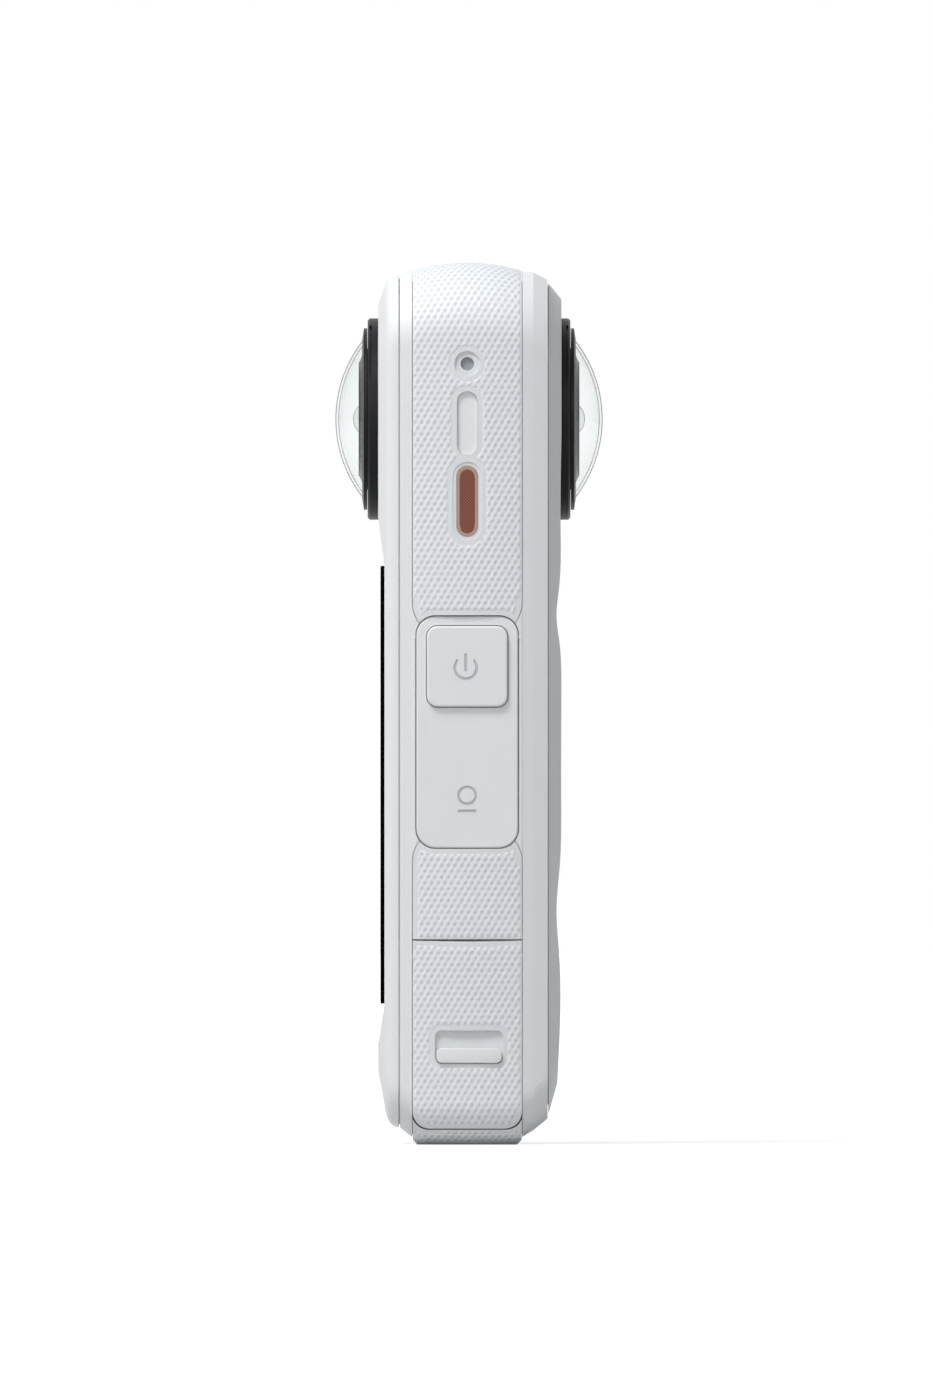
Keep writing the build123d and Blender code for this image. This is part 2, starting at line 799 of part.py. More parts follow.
with BuildPart() as rear_grip_pad:
    add(rear_block.part)
    extrude(pad_prism, amount=rear_face + overrun - pad_floor, mode=Mode.INTERSECT)
save(rear_grip_pad.part, "rear_grip_pad")

with BuildPart() as cover_screws:
    for x, z in cover_screw_places:
        cross_rod(x, z, cover_screw_head_radius, pad_floor - cover_screw_head_height, pad_floor)
        cross_rod(x, z, cover_screw_radius, pad_floor - cover_screw_length, pad_floor)
save(cover_screws.part, "cover_screws")


# Textured band in three pieces, bonded to the frame between the doors and the keys
def side_pill(side, height, width, length, start, end=half_width + overrun):
    """Upright pill on one side, pushed out from one distance to another."""
    return side_prism(pill(Plane.YZ, band_middle, height, width, length), side, start, end)


mesh_face = crown_width - mesh_sink
mesh_floor = mesh_face - mesh_thickness
mesh_places = [("mic_mesh_right", right), ("mic_mesh_left", left)]
vent_face = crown_width - pill_sink

with BuildPart() as upper_keep:
    add(side_prism(upper_region, right, 0))
    add(side_prism(side_region(usb_high + seam_gap, body_top + overrun), left, 0))

with BuildPart() as bottom_keep:
    add(side_prism(side_region(-overrun, usb_low - seam_gap), left, 0))
    add(side_prism(side_region(-overrun, door_low + door_corner + seam_gap), right, 0))

with BuildPart() as upper_grip_band:
    add(band_ring.part)
    add(upper_keep.part, mode=Mode.INTERSECT)
    add(side_prism(plate_pocket, right, core_width - overrun), mode=Mode.SUBTRACT)
    # Microphone hole in its round dish
    rod(Plane.YZ.offset(core_width - overrun), band_middle, mic_hole_height, mic_hole_radius,
        3 * overrun, Mode.SUBTRACT)
    rod(Plane.YZ.offset(crown_width - mic_dish_depth), band_middle, mic_hole_height, mic_dish_radius,
        overrun, Mode.SUBTRACT)
    # Slot of the vent plug
    add(side_pill(right, pill_height, pill_width, pill_length, core_width - overrun), mode=Mode.SUBTRACT)
    # Seats of the two meshes, each with a shallow lip and a sound hole
    for node, side in mesh_places:
        add(side_pill(side, mesh_height, mesh_width, mesh_length, mesh_floor), mode=Mode.SUBTRACT)
        add(side_pill(side, mesh_height, mesh_width + 2 * mesh_lip, mesh_length + 2 * mesh_lip,
                      crown_width - mesh_lip_depth), mode=Mode.SUBTRACT)
        add(side_prism(disc(Plane.YZ, band_middle, mesh_height, sound_hole_radius), side,
                       core_width - overrun),
            mode=Mode.SUBTRACT)
save(upper_grip_band.part, "upper_grip_band")

with BuildPart() as lower_grip_band:
    add(band_ring.part)
    add(side_prism(lower_region, right, core_width - overrun), mode=Mode.INTERSECT)
    add(side_prism(plate_pocket, right, core_width - overrun), mode=Mode.SUBTRACT)
save(lower_grip_band.part, "lower_grip_band")

toe_x = core_width - toe_inset
with BuildPart() as bottom_grip_band:
    add(band_ring.part)
    add(bottom_keep.part, mode=Mode.INTERSECT)
    add(side_prism(side_region(door_low - seam_gap, door_high, seam_gap, door_corner), right,
                   toe_x - toe_gap),
        mode=Mode.SUBTRACT)
    rod(Plane.XY.offset(-overrun), 0, band_middle, tripod_flange_radius, 2 * overrun + core_low,
        Mode.SUBTRACT)
save(bottom_grip_band.part, "bottom_grip_band")

with BuildPart() as vent_plug:
    add(side_pill(right, pill_height, pill_width - screw_gap, pill_length - screw_gap, core_width, vent_face))
save(vent_plug.part, "vent_plug")

for node, side in mesh_places:
    save(side_pill(side, mesh_height, mesh_width - screw_gap, mesh_length - screw_gap, mesh_floor,
                   mesh_face), node)


# Doors: a curved skin with a hinge bore below its upper edge and a plug behind it
def swept_room(side, pin_z, low):
    """Room that a door may fill so that it can swing about its pin."""
    with BuildPart() as room:
        cross_rod(side * pin_x, pin_z, pin_z - low, shoulder_front, shoulder_rear)
        bar((-2 * body_top, shoulder_front, pin_z), (2 * body_top, shoulder_rear, 2 * body_top),
            Mode.SUBTRACT)
        cross_rod(side * pin_x, pin_z, lip_radius, shoulder_front, shoulder_rear)
    return room.part


def door_skin(side, low, high, corner):
    """Outer skin of a door, cut from the band."""
    with BuildPart() as skin:
        add(band_ring.part)
        add(side_prism(side_region(low, high, 0, corner), side, toe_x), mode=Mode.INTERSECT)
        add(swept_room(side, high - hinge_below_seam, low), mode=Mode.INTERSECT)
        extrude(outline(band_rear + overrun, core_width + bed_gap, core_low - bed_gap, core_top + bed_gap),
                amount=band_front + band_rear + 2 * overrun, mode=Mode.SUBTRACT)
    return skin.part


def make_door(side, low, high, corner, low_plug, high_plug, half_plug, low_latch):
    """Door, its plug seal and its sliding latch."""
    pin_z = high - hinge_below_seam
    skin_back = core_width + bed_gap
    plug_end = skin_back - plug_inset
    seal_x = plug_end + plug_inset / 2 - door_seal_width / 2
    recess_floor = crown_width - latch_recess_depth
    neck_z = low_latch + bond_gap + latch_neck_height / 2
    pocket_x = recess_floor - latch_floor
    slide_x = pocket_x - bond_gap - latch_plate_thickness
    slide_low = neck_z - latch_neck_height / 2 - latch_plate_lap
    slide_high = neck_z + latch_neck_height / 2 + latch_travel + latch_plate_lap
    plug = panel(Plane.YZ, -half_plug, half_plug, low_plug, high_plug)
    seal_bed = panel(Plane.YZ, door_seal_depth - half_plug, half_plug - door_seal_depth,
                     low_plug + door_seal_depth, high_plug - door_seal_depth)
    seal_edge = panel(Plane.YZ, -half_plug - door_seal_proud, half_plug + door_seal_proud,
                      low_plug - door_seal_proud, high_plug + door_seal_proud)
    with BuildPart() as seal:
        add(side_prism(seal_edge, side, seal_x, seal_x + door_seal_width))
        add(side_prism(seal_bed, side, seal_x - overrun), mode=Mode.SUBTRACT)
    with BuildPart() as door:
        add(door_skin(side, low, high, corner))
        add(side_prism(plug, side, plug_end, skin_back + bed_gap))
        add(seal.part, mode=Mode.SUBTRACT)
        cross_rod(side * pin_x, pin_z, hinge_radius + running_gap, shoulder_front, shoulder_rear,
                  Mode.SUBTRACT)
        # Recess, slot and inner pocket of the latch
        add(side_prism(panel(Plane.YZ, -latch_width / 2 - latch_side_gap, latch_width / 2 + latch_side_gap,
                             low_latch - bond_gap,
                             low_latch + latch_height + latch_travel + latch_finger_room,
                             latch_corner + bond_gap), side, recess_floor), mode=Mode.SUBTRACT)
        add(side_prism(panel(Plane.YZ, -latch_neck_width / 2 - bond_gap, latch_neck_width / 2 + bond_gap,
                             neck_z - latch_neck_height / 2 - bond_gap,
                             neck_z + latch_neck_height / 2 + latch_travel + bond_gap), side,
                             plug_end - overrun),
            mode=Mode.SUBTRACT)
        add(side_prism(panel(Plane.YZ, -latch_plate_width / 2 - bond_gap, latch_plate_width / 2 + bond_gap,
                             slide_low - bond_gap, slide_high + latch_travel + bond_gap),
                       side, plug_end - overrun, pocket_x), mode=Mode.SUBTRACT)
    with BuildPart() as latch:
        add(side_prism(panel(Plane.YZ, -latch_width / 2, latch_width / 2, low_latch, low_latch + latch_height,
                             latch_corner), side, recess_floor + screw_gap, half_width))
        add(side_prism(panel(Plane.YZ, -latch_neck_width / 2, latch_neck_width / 2,
                             neck_z - latch_neck_height / 2,
                             neck_z + latch_neck_height / 2), side, slide_x, half_width - bond_gap))
        add(side_prism(panel(Plane.YZ, -latch_plate_width / 2, latch_plate_width / 2, slide_low, slide_high),
                       side, slide_x, slide_x + latch_plate_thickness))
    return door.part, seal.part, latch.part


for name, side, sizes in (
        ("battery", right, (door_low, door_high, door_corner, plug_low, plug_high, plug_half, latch_low)),
        ("usb", left, (usb_low, usb_high, 0, usb_plug_low, usb_plug_high, usb_plug_half, usb_latch_low))):
    door_part, seal_part, latch_part = make_door(side, *sizes)
    save(door_part, f"{name}_door")
    save(seal_part, f"{name}_door_seal")
    save(latch_part, f"{name}_latch")

for name, (side, pin_z) in zip(("battery", "usb"), pin_lines):
    with BuildPart() as hinge_pin:
        cross_rod(side * pin_x, pin_z, hinge_radius, shoulder_front - pin_reach, shoulder_rear + pin_reach)
    save(hinge_pin.part, f"{name}_hinge_pin")


# Keys on the right side
def ring_mark(plane, u, v, radius, gap_width=0):
    """Thin ring for a key mark, open at its top where a gap is given."""
    with BuildSketch(plane) as mark:
        with Locations((u, v)):
            Circle(radius + mark_line / 2)
            Circle(radius - mark_line / 2, mode=Mode.SUBTRACT)
        if gap_width > 0:
            with Locations((u, v + radius)):
                Rectangle(gap_width, radius, mode=Mode.SUBTRACT)
    return mark.sketch


key_half = key_width / 2
ear_inner = plate_half - ear_width
stem_end = switch_wall + stem_to_wall
power_mark = Plane.YZ.offset(half_width - mark_depth)
power_mark_middle = band_middle - power_mark_shift
power_mark_height = key_height - power_mark_drop
quick_mark = Plane.YZ.offset(plate_face - mark_depth)

with BuildPart() as power_button:
    extrude(panel(Plane.YZ.offset(plate_floor + ear_depth), band_middle - key_half - key_flange,
                  band_middle + key_half + key_flange, key_height - key_half - key_flange,
                  key_height + key_half + key_flange, key_corner), amount=key_flange_thickness)
    extrude(panel(Plane.YZ.offset(plate_floor + ear_depth), band_middle - key_half, band_middle + key_half,
                  key_height - key_half, key_height + key_half, key_corner),
            amount=half_width - plate_floor - ear_depth)
    fillet(faces().sort_by(Axis.X)[-1].edges(), radius=key_edge_radius)
    rod(Plane.YZ.offset(stem_end), band_middle, key_height, stem_radius, plate_floor + ear_depth - stem_end)
    # Power mark: an open ring with a stroke through its gap
    extrude(ring_mark(power_mark, power_mark_middle, power_mark_height, power_mark_radius, power_mark_gap),
            amount=overrun, mode=Mode.SUBTRACT)
    extrude(panel(power_mark, power_mark_middle - mark_line / 2, power_mark_middle + mark_line / 2,
                  power_mark_height - power_stroke_drop, power_mark_height + power_stroke_rise),
            amount=overrun, mode=Mode.SUBTRACT)
save(power_button.part, "power_button")

with BuildPart() as quick_button:
    extrude(panel(Plane.YZ.offset(plate_back), band_middle - plate_half, band_middle + plate_half,
                  plate_low, plate_high, plate_corner), amount=plate_thickness)
    fillet(faces().sort_by(Axis.X)[-1].edges(), radius=key_edge_radius)
    extrude(panel(Plane.YZ.offset(plate_floor), band_middle - key_half - key_gap,
                  band_middle + key_half + key_gap,
                  key_height - key_half - key_gap, key_height + key_half + key_gap, key_corner + key_gap),
            amount=2 * overrun, mode=Mode.SUBTRACT)
    for side in (left, right):
        low_y, high_y = sorted((band_middle + side * ear_inner, band_middle + side * plate_half))
        bar((plate_back - ear_depth, low_y, pivot_z - ear_height / 2),
            (plate_back + plate_thickness / 2, high_y, pivot_z + ear_height / 2))
    cross_rod(pivot_x, pivot_z, pivot_radius + running_gap, band_middle - plate_width,
              band_middle + plate_width,
              Mode.SUBTRACT)
    rod(Plane.YZ.offset(stem_end), band_middle, quick_stem_height, stem_radius, plate_back - stem_end)
    # Mark of the second key: a ring over a short bar
    extrude(ring_mark(quick_mark, band_middle, quick_mark_height, quick_mark_radius),
            amount=overrun, mode=Mode.SUBTRACT)
    extrude(panel(quick_mark, band_middle - quick_bar_length / 2, band_middle + quick_bar_length / 2,
                  quick_mark_height - 2 * quick_mark_radius,
                  quick_mark_height - 2 * quick_mark_radius + mark_line),
            amount=overrun, mode=Mode.SUBTRACT)
save(quick_button.part, "quick_button")

with BuildPart() as quick_button_pivot:
    for side in (left, right):
        low_y, high_y = sorted((band_middle + side * (ear_inner + bond_gap),
                                band_middle + side * (plate_half + pivot_reach)))
        cross_rod(pivot_x, pivot_z, pivot_radius, low_y, high_y)
save(quick_button_pivot.part, "quick_button_pivot")

# Switches behind the keys, on a narrow board of their own
switch_board_face = switch_wall - screw_gap - switch_body_height
with BuildPart() as side_switch_board:
    extrude(panel(Plane.YZ.offset(switch_board_face - switch_board_thickness),
                  band_middle - switch_board_width / 2, band_middle + switch_board_width / 2,
                  quick_stem_height - switch_width, key_height + switch_width), amount=switch_board_thickness)
save(side_switch_board.part, "side_switch_board")

with BuildPart() as side_switches:
    for height in (key_height, quick_stem_height):
        extrude(panel(Plane.YZ.offset(switch_board_face), band_middle - switch_width / 2,
                      band_middle + switch_width / 2, height - switch_width / 2, height + switch_width / 2),
                amount=switch_body_height)
        rod(Plane.YZ.offset(switch_board_face), band_middle, height, stem_radius, switch_height)
save(side_switches.part, "side_switches")

# Round buttons under the screen
for name, (x, z) in zip(("shutter_button", "lens_button"), front_button_places):
    with BuildPart() as front_button:
        # The face follows the curved cover round it
        rod(facing(-flange_front + front_flange_thickness), x, z, front_button_radius,
            front_flange_thickness + overrun)
        add(front_block(), mode=Mode.INTERSECT)
        add(screen_step(0), mode=Mode.SUBTRACT)
        rod(facing(-flange_front + front_flange_thickness), x, z, front_button_radius + front_button_flange,
            front_flange_thickness)
    save(front_button.part, name)

with BuildPart() as front_switch_board:
    extrude(panel(facing(front_board_thickness - front_board_face), -front_board_half_width,
                  front_board_half_width,
                  front_board_low, front_board_high), amount=front_board_thickness)
save(front_switch_board.part, "front_switch_board")

with BuildPart() as front_switches:
    for x, z in front_button_places:
        rod(facing(-front_board_face), x, z, front_switch_radius, front_switch_height)
save(front_switches.part, "front_switches")

with BuildPart() as status_lights:
    for x, z in light_places:
        rod(facing(-cover_inner), x, z, light_radius - screw_gap, cover_wall - light_sink)
save(status_lights.part, "status_lights")

# Screen glass, its adhesive frame and the display behind it
with BuildPart() as touch_glass:
    extrude(glass_panel(facing(-glass_back)), amount=glass_thickness)
    fillet(faces().sort_by(Axis.Y)[0].edges(), radius=glass_edge_radius)
save(touch_glass.part, "touch_glass")

with BuildPart() as glass_gasket:
    extrude(glass_panel(facing(-gasket_back)), amount=gasket_thickness)
    extrude(panel(facing(cover_back), -display_half, display_half, display_low, display_high),
            amount=2 * overrun, mode=Mode.SUBTRACT)
save(glass_gasket.part, "glass_gasket")

with BuildPart() as display_module:
    extrude(panel(facing(display_thickness - glass_back), display_margin - display_half,
                  display_half - display_margin, display_low + display_margin, display_high - display_margin),
            amount=display_thickness)
save(display_module.part, "display_module")


# Lenses: each piece is turned about its axis, from the middle of the camera outwards
def turned(points, side):
    """Solid of revolution about the lens axis, from radius and distance pairs."""
    axis = Axis((0, 0, lens_height), (0, 1, 0))
    with BuildPart() as piece:
        with BuildSketch(Plane.YZ):
            with BuildLine():
                Polyline(*[(side * distance, lens_height + radius) for radius, distance in points],
                         close=True)
            make_face()
        revolve(axis=axis)
    return piece.part


def sector(side, radius, half_angle, low, high, middle_angle):
    """Wedge about the lens axis, for the lugs and their gates."""
    turns = [math.radians(middle_angle + step * half_angle) for step in (-1, 0, 1)]
    points = [(2 * radius * math.cos(turn), lens_height + 2 * radius * math.sin(turn)) for turn in turns]
    with BuildPart() as wedge:
        with BuildSketch(facing(side * high)):
            with BuildLine():
                Polyline((0, lens_height), *points, close=True)
            make_face()
        extrude(amount=side * (high - low))
    return wedge.part


lens_sides = [("front", left), ("rear", right)]
dome_middle = dome_apex - dome_radius
dome_foot_outer = math.sqrt(dome_radius ** 2 - (lens_ring_top - dome_middle) ** 2)
lug_low = bayonet_groove_low + lug_clearance
lug_high = bayonet_groove_high - lug_clearance
skirt_low = lens_seat + lens_gap
element_top = barrel_face - element_plate
element_levels = [barrel_low + sensor_thickness + element_spacing * step for step in (1, 2)]
lug_middles = [360 / lug_count * index for index in range(lug_count)]
gate_turn = lug_angle + twist_angle

for name, side in lens_sides:
    # Fixed ring on the cover, with the groove and gates of the bayonet
    base_ring = turned([(base_ring_bore, lens_seat), (base_ring_radius, lens_seat),
                        (base_ring_radius, base_ring_face - base_ring_round),
                        (base_ring_radius - base_ring_round, base_ring_face),
                        (base_ring_bore, base_ring_face),
                        (base_ring_bore, bayonet_groove_high), (bayonet_groove_radius, bayonet_groove_high),
                        (bayonet_groove_radius, bayonet_groove_low), (base_ring_bore, bayonet_groove_low)],
                        side)
    gate_ring = turned([(0, bayonet_groove_low), (bayonet_groove_radius, bayonet_groove_low),
                        (bayonet_groove_radius, base_ring_face + overrun), (0, base_ring_face + overrun)],
                        side)
    arc_ring = turned([(base_ring_radius - arc_slot_depth, arc_slot_face - arc_slot_width / 2),
                       (base_ring_radius + overrun, arc_slot_face - arc_slot_width / 2),
                       (base_ring_radius + overrun, arc_slot_face + arc_slot_width / 2),
                       (base_ring_radius - arc_slot_depth, arc_slot_face + arc_slot_width / 2)], side)
    with BuildPart() as lens_base:
        add(base_ring)
        for middle in lug_middles:
            add(gate_ring & sector(side, base_ring_radius, lug_angle / 2 + lug_play_angle, lens_seat,
                                   base_ring_face + overrun, middle + gate_turn), mode=Mode.SUBTRACT)
        add(arc_ring & sector(side, base_ring_radius, (arc_slot_high - arc_slot_low) / 2, lens_seat,
                              base_ring_face,
                              (arc_slot_low + arc_slot_high) / 2), mode=Mode.SUBTRACT)
    save(lens_base.part, f"{name}_lens_base_ring")

    # Ring that twists off with its dome: a skirt with three lugs inside, a stepped rim outside
    with BuildPart() as lens_ring:
        add(turned([(skirt_bore, skirt_low), (skirt_radius, skirt_low),
                    (skirt_radius, base_ring_face + lens_gap),
                    (lens_ring_radius, base_ring_face + lens_gap), (lens_ring_radius, lens_ring_face),
                    (lens_ring_top_radius, lens_ring_top), (skirt_bore, lens_ring_top)], side))
        lug_ring = turned([(skirt_bore, lug_low), (lug_radius, lug_low), (lug_radius, lug_high),
                           (skirt_bore, lug_high)], side)
        for middle in lug_middles:
            add(lug_ring & sector(side, base_ring_radius, lug_angle / 2, lens_seat, base_ring_face, middle))
    save(lens_ring.part, f"{name}_lens_ring")

    # Clear dome: a thin part of a sphere
    with BuildPart() as lens_dome:
        with Locations((0, side * dome_middle, lens_height)):
            Sphere(dome_radius)
            Sphere(dome_radius - dome_wall, mode=Mode.SUBTRACT)
        extrude(disc(facing(side * (dome_apex + overrun)), 0, lens_height, dome_foot_outer + overrun),
                amount=side * (dome_apex + overrun - lens_ring_top), mode=Mode.INTERSECT)
    save(lens_dome.part, f"{name}_lens_dome")

    # Barrel behind the dome, held by a flange inside the cover, with its stepped black head
    barrel = turned([(barrel_bore, barrel_low), (barrel_radius, barrel_low),
                     (barrel_radius, cover_inner - barrel_flange_thickness),
                     (barrel_flange_radius, cover_inner - barrel_flange_thickness),
                     (barrel_flange_radius, cover_inner),
                     (barrel_radius, cover_inner), (barrel_radius, barrel_head_low),
                     (barrel_head_radius, barrel_head_low), (barrel_head_radius, lens_ring_top),
                     (barrel_shoulder_radius, lens_ring_top + barrel_shoulder_rise),
                     (barrel_shoulder_radius, barrel_face), (front_element_radius + screw_gap, barrel_face),
                     (front_element_radius + screw_gap, element_top), (barrel_bore, element_top)], side)
    save(barrel, f"{name}_lens_barrel")

    # Lens elements: the small front one bulges through the head, two more lie behind it
    with BuildPart() as inner_lenses:
        cap_rise = front_element_apex - barrel_face
        with BuildSketch(Plane.YZ):
            with BuildLine():
                apex = (side * front_element_apex, lens_height)
                rim = (side * barrel_face, lens_height + front_element_radius)
                bulge = (front_element_radius ** 2 + cap_rise ** 2) / (2 * cap_rise)
                half_rim = math.sqrt(bulge ** 2 - (front_element_radius / 2) ** 2)
                ThreePointArc(apex, (side * (front_element_apex - bulge + half_rim),
                                     lens_height + front_element_radius / 2), rim)
                Polyline(rim, (side * element_top, lens_height + front_element_radius),
                         (side * element_top, lens_height + barrel_bore - screw_gap),
                         (side * (element_top - element_thickness), lens_height + barrel_bore - screw_gap),
                         (side * (element_top - element_thickness), lens_height), apex)
            make_face()
        revolve(axis=Axis((0, 0, lens_height), (0, 1, 0)))
        for level in element_levels:
            add(turned([(0, level), (barrel_bore - screw_gap, level),
                        (barrel_bore - screw_gap, level + element_thickness),
                        (0, level + element_thickness)], side))
    save(inner_lenses.part, f"{name}_inner_lenses")

    # Image sensor at the foot of the barrel, on its small board
    with BuildPart() as image_sensor:
        for low, thickness, width in ((barrel_low - sensor_thickness, sensor_thickness, sensor_width),
                                      (barrel_low - sensor_thickness - sensor_board_thickness,
                                       sensor_board_thickness, sensor_board_width)):
            low_y, high_y = sorted((side * low, side * (low + thickness)))
            bar((-width / 2, low_y, lens_height - width / 2), (width / 2, high_y, lens_height + width / 2))
    save(image_sensor.part, f"{name}_image_sensor")

with BuildPart() as lens_seals:
    for name, side in lens_sides:
        add(turned([(seal_bore, cover_inner), (base_ring_bore - screw_gap, cover_inner),
                    (base_ring_bore - screw_gap, cover_inner + seal_thickness),
                    (seal_bore, cover_inner + seal_thickness)], side))
save(lens_seals.part, "lens_seals")

# Plate between the two sensor boards: it carries the lenses and takes their heat to the frame
carrier_face = barrel_low - sensor_thickness - sensor_board_thickness
with BuildPart() as lens_carrier:
    bar((carrier_gap - cavity_width, -carrier_face, carrier_low),
        (cavity_width - carrier_gap, carrier_face, carrier_high))
    bar((-carrier_window / 2, shoulder_front, carrier_low + frame_wall),
        (carrier_window / 2, shoulder_rear, carrier_high - frame_wall), Mode.SUBTRACT)
save(lens_carrier.part, "lens_carrier")

# Battery, its bay open towards the door, and the sprung contacts at the far end
bay_start = -(cavity_width - battery_gap)
battery_start = bay_start + bay_wall + contact_block_thickness + contact_pin_length
with BuildPart() as battery_box:
    bar((bay_start, -bay_half_depth, bay_low), (bay_end, bay_half_depth, bay_high))
    fillet(edges().filter_by(Axis.Y).group_by(Axis.X)[0], radius=bay_corner)
    bar((bay_start + bay_wall, bay_wall - bay_half_depth, bay_low + bay_wall),
        (half_width, bay_half_depth - bay_wall, bay_high - bay_wall), Mode.SUBTRACT)
save(battery_box.part, "battery_box")

battery_inset = bay_wall + battery_gap
with BuildPart() as battery:
    bar((battery_start, battery_inset - bay_half_depth, bay_low + battery_inset),
        (bay_end - battery_end_gap, bay_half_depth - battery_inset, plug_high))
    fillet(edges().filter_by(Axis.X), radius=key_corner)
save(battery.part, "battery")

with BuildPart() as battery_contacts:
    bar((bay_start + bay_wall, bay_wall - bay_half_depth, contact_low),
        (bay_start + bay_wall + contact_block_thickness, bay_half_depth - bay_wall,
         contact_low + 3 * contact_width))
    with Locations(Plane.YZ.offset(battery_start - contact_pin_length)):
        with Locations((0, contact_low + 3 * contact_width / 2)):
            with GridLocations(contact_pitch, contact_pitch, contact_count, 1):
                Cylinder(contact_width / 2, contact_pin_length, align=(Align.CENTER, Align.CENTER, Align.MIN))
save(battery_contacts.part, "battery_contacts")

# Main board with its shielded processor, heat plate, card socket and data port
with BuildPart() as main_board:
    bar((-board_half_width, board_face, board_low), (board_half_width, board_face + board_thickness,
                                                     board_high))
    for x, z in board_screw_places:
        cross_rod(x, z, board_screw_radius + screw_gap, board_face - overrun, board_face + overrun,
                  Mode.SUBTRACT)
save(main_board.part, "main_board")

with BuildPart() as board_screws:
    for x, z in board_screw_places:
        cross_rod(x, z, board_screw_head_radius, board_face - board_screw_head_height, board_face)
        cross_rod(x, z, board_screw_radius, board_face, board_face + board_screw_length)
save(board_screws.part, "board_screws")

shield_face = board_face - shield_height
with BuildPart() as processor_shield:
    bar((-shield_width / 2, shield_face, shield_low), (shield_width / 2, board_face, shield_high))
    bar((usb_shell_wall - shield_width / 2, shield_face + usb_shell_wall, shield_low + usb_shell_wall),
        (shield_width / 2 - usb_shell_wall, board_face, shield_high - usb_shell_wall), Mode.SUBTRACT)
save(processor_shield.part, "processor_shield")

with BuildPart() as heat_sink_plate:
    bar((-heat_plate_half_width, shield_face - heat_plate_thickness, heat_plate_low),
        (heat_plate_half_width, shield_face, heat_plate_high))
save(heat_sink_plate.part, "heat_sink_plate")

board_back = board_face + board_thickness
with BuildPart() as card_socket:
    bar((-card_socket_width / 2, board_back, shield_low),
        (card_socket_width / 2, board_back + card_socket_height,
                                                           shield_low + card_socket_length))
save(card_socket.part, "card_socket")

usb_middle = (usb_plug_low + usb_plug_high) / 2 + usb_plug_inset
port_y = board_back + usb_shell_height / 2
port_start = -(door_block + bed_gap)
with BuildPart() as usb_port:
    for width, height, mode in ((usb_shell_width, usb_shell_height, Mode.ADD),
                                (usb_shell_width - 2 * usb_shell_wall, usb_shell_height - 2 * usb_shell_wall,
                                 Mode.SUBTRACT)):
        start = port_start if mode == Mode.ADD else port_start - overrun
        length = usb_shell_length if mode == Mode.ADD else usb_shell_length + overrun - usb_shell_wall
        extrude(pill(Plane.YZ.offset(start), port_y, usb_middle, height, width), amount=length, mode=mode)
    bar((port_start + 2 * usb_shell_wall, port_y - usb_tongue_height / 2,
         usb_middle - usb_shell_width / 2 + usb_shell_height / 2),
        (port_start + usb_shell_length, port_y + usb_tongue_height / 2,
         usb_middle + usb_shell_width / 2 - usb_shell_height / 2))
save(usb_port.part, "usb_port")

# Speaker behind the left mesh and microphones behind the sound holes
with BuildPart() as speaker:
    bar((carrier_gap - cavity_width, band_middle - speaker_width / 2, speaker_low),
        (carrier_gap - cavity_width + speaker_depth, band_middle + speaker_width / 2,
         speaker_low + speaker_width))
save(speaker.part, "speaker")

with BuildPart() as microphones:
    for height in (mic_hole_height, mesh_height):
        bar((cavity_width - carrier_gap - mic_depth, band_middle - mic_width / 2, height - mic_width / 2),
            (cavity_width - carrier_gap, band_middle + mic_width / 2, height + mic_width / 2))
save(microphones.part, "microphones")

# Metal tripod socket in the base
with BuildPart() as tripod_insert:
    rod(Plane.XY, 0, band_middle, tripod_insert_radius - screw_gap, core_low + tripod_depth)
    rod(Plane.XY, 0, band_middle, tripod_flange_radius - bond_gap, core_low - bond_gap)
    rod(Plane.XY.offset(-overrun), 0, band_middle, tripod_radius, tripod_depth + overrun, Mode.SUBTRACT)
save(tripod_insert.part, "tripod_insert")
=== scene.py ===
# %% [markdown]
# # A pocket camera with a lens on each face
#
# The engineering model is already built: every solid sits at its real size in one frame, in metres.
# This lesson dresses it. It gives each solid the finish of the real part, and adds what solids alone
# don't show: the pitted soft grip, the woven mesh over the microphones, the ink in the marks on the
# keys and the softened latches.

# %% Load the frame
import json
import math

import bmesh
import bpy
import numpy as np
from mathutils import Matrix, Vector
from mathutils.bvhtree import BVHTree


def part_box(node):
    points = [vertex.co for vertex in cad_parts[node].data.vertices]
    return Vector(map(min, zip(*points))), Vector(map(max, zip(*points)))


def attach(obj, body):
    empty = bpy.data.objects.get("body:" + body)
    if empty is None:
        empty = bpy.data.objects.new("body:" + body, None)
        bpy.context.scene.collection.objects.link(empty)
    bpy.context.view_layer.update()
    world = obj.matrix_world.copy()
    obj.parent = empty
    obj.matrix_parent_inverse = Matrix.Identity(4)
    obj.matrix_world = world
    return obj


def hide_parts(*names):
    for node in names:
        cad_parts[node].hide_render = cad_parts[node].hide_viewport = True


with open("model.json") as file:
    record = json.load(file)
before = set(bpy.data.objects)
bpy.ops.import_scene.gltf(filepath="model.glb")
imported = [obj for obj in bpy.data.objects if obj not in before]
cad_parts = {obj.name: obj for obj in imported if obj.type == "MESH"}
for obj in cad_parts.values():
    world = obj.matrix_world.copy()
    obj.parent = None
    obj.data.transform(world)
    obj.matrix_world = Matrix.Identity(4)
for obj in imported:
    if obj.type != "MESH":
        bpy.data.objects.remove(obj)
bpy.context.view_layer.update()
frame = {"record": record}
MM = 0.001
body_of_node = {node: body for body, nodes in frame["record"]["behaviour"]["bodies"].items() for node in nodes}
slot_of_node = {entry["node"]: entry["material_slot"] for entry in frame["record"]["subparts"]}

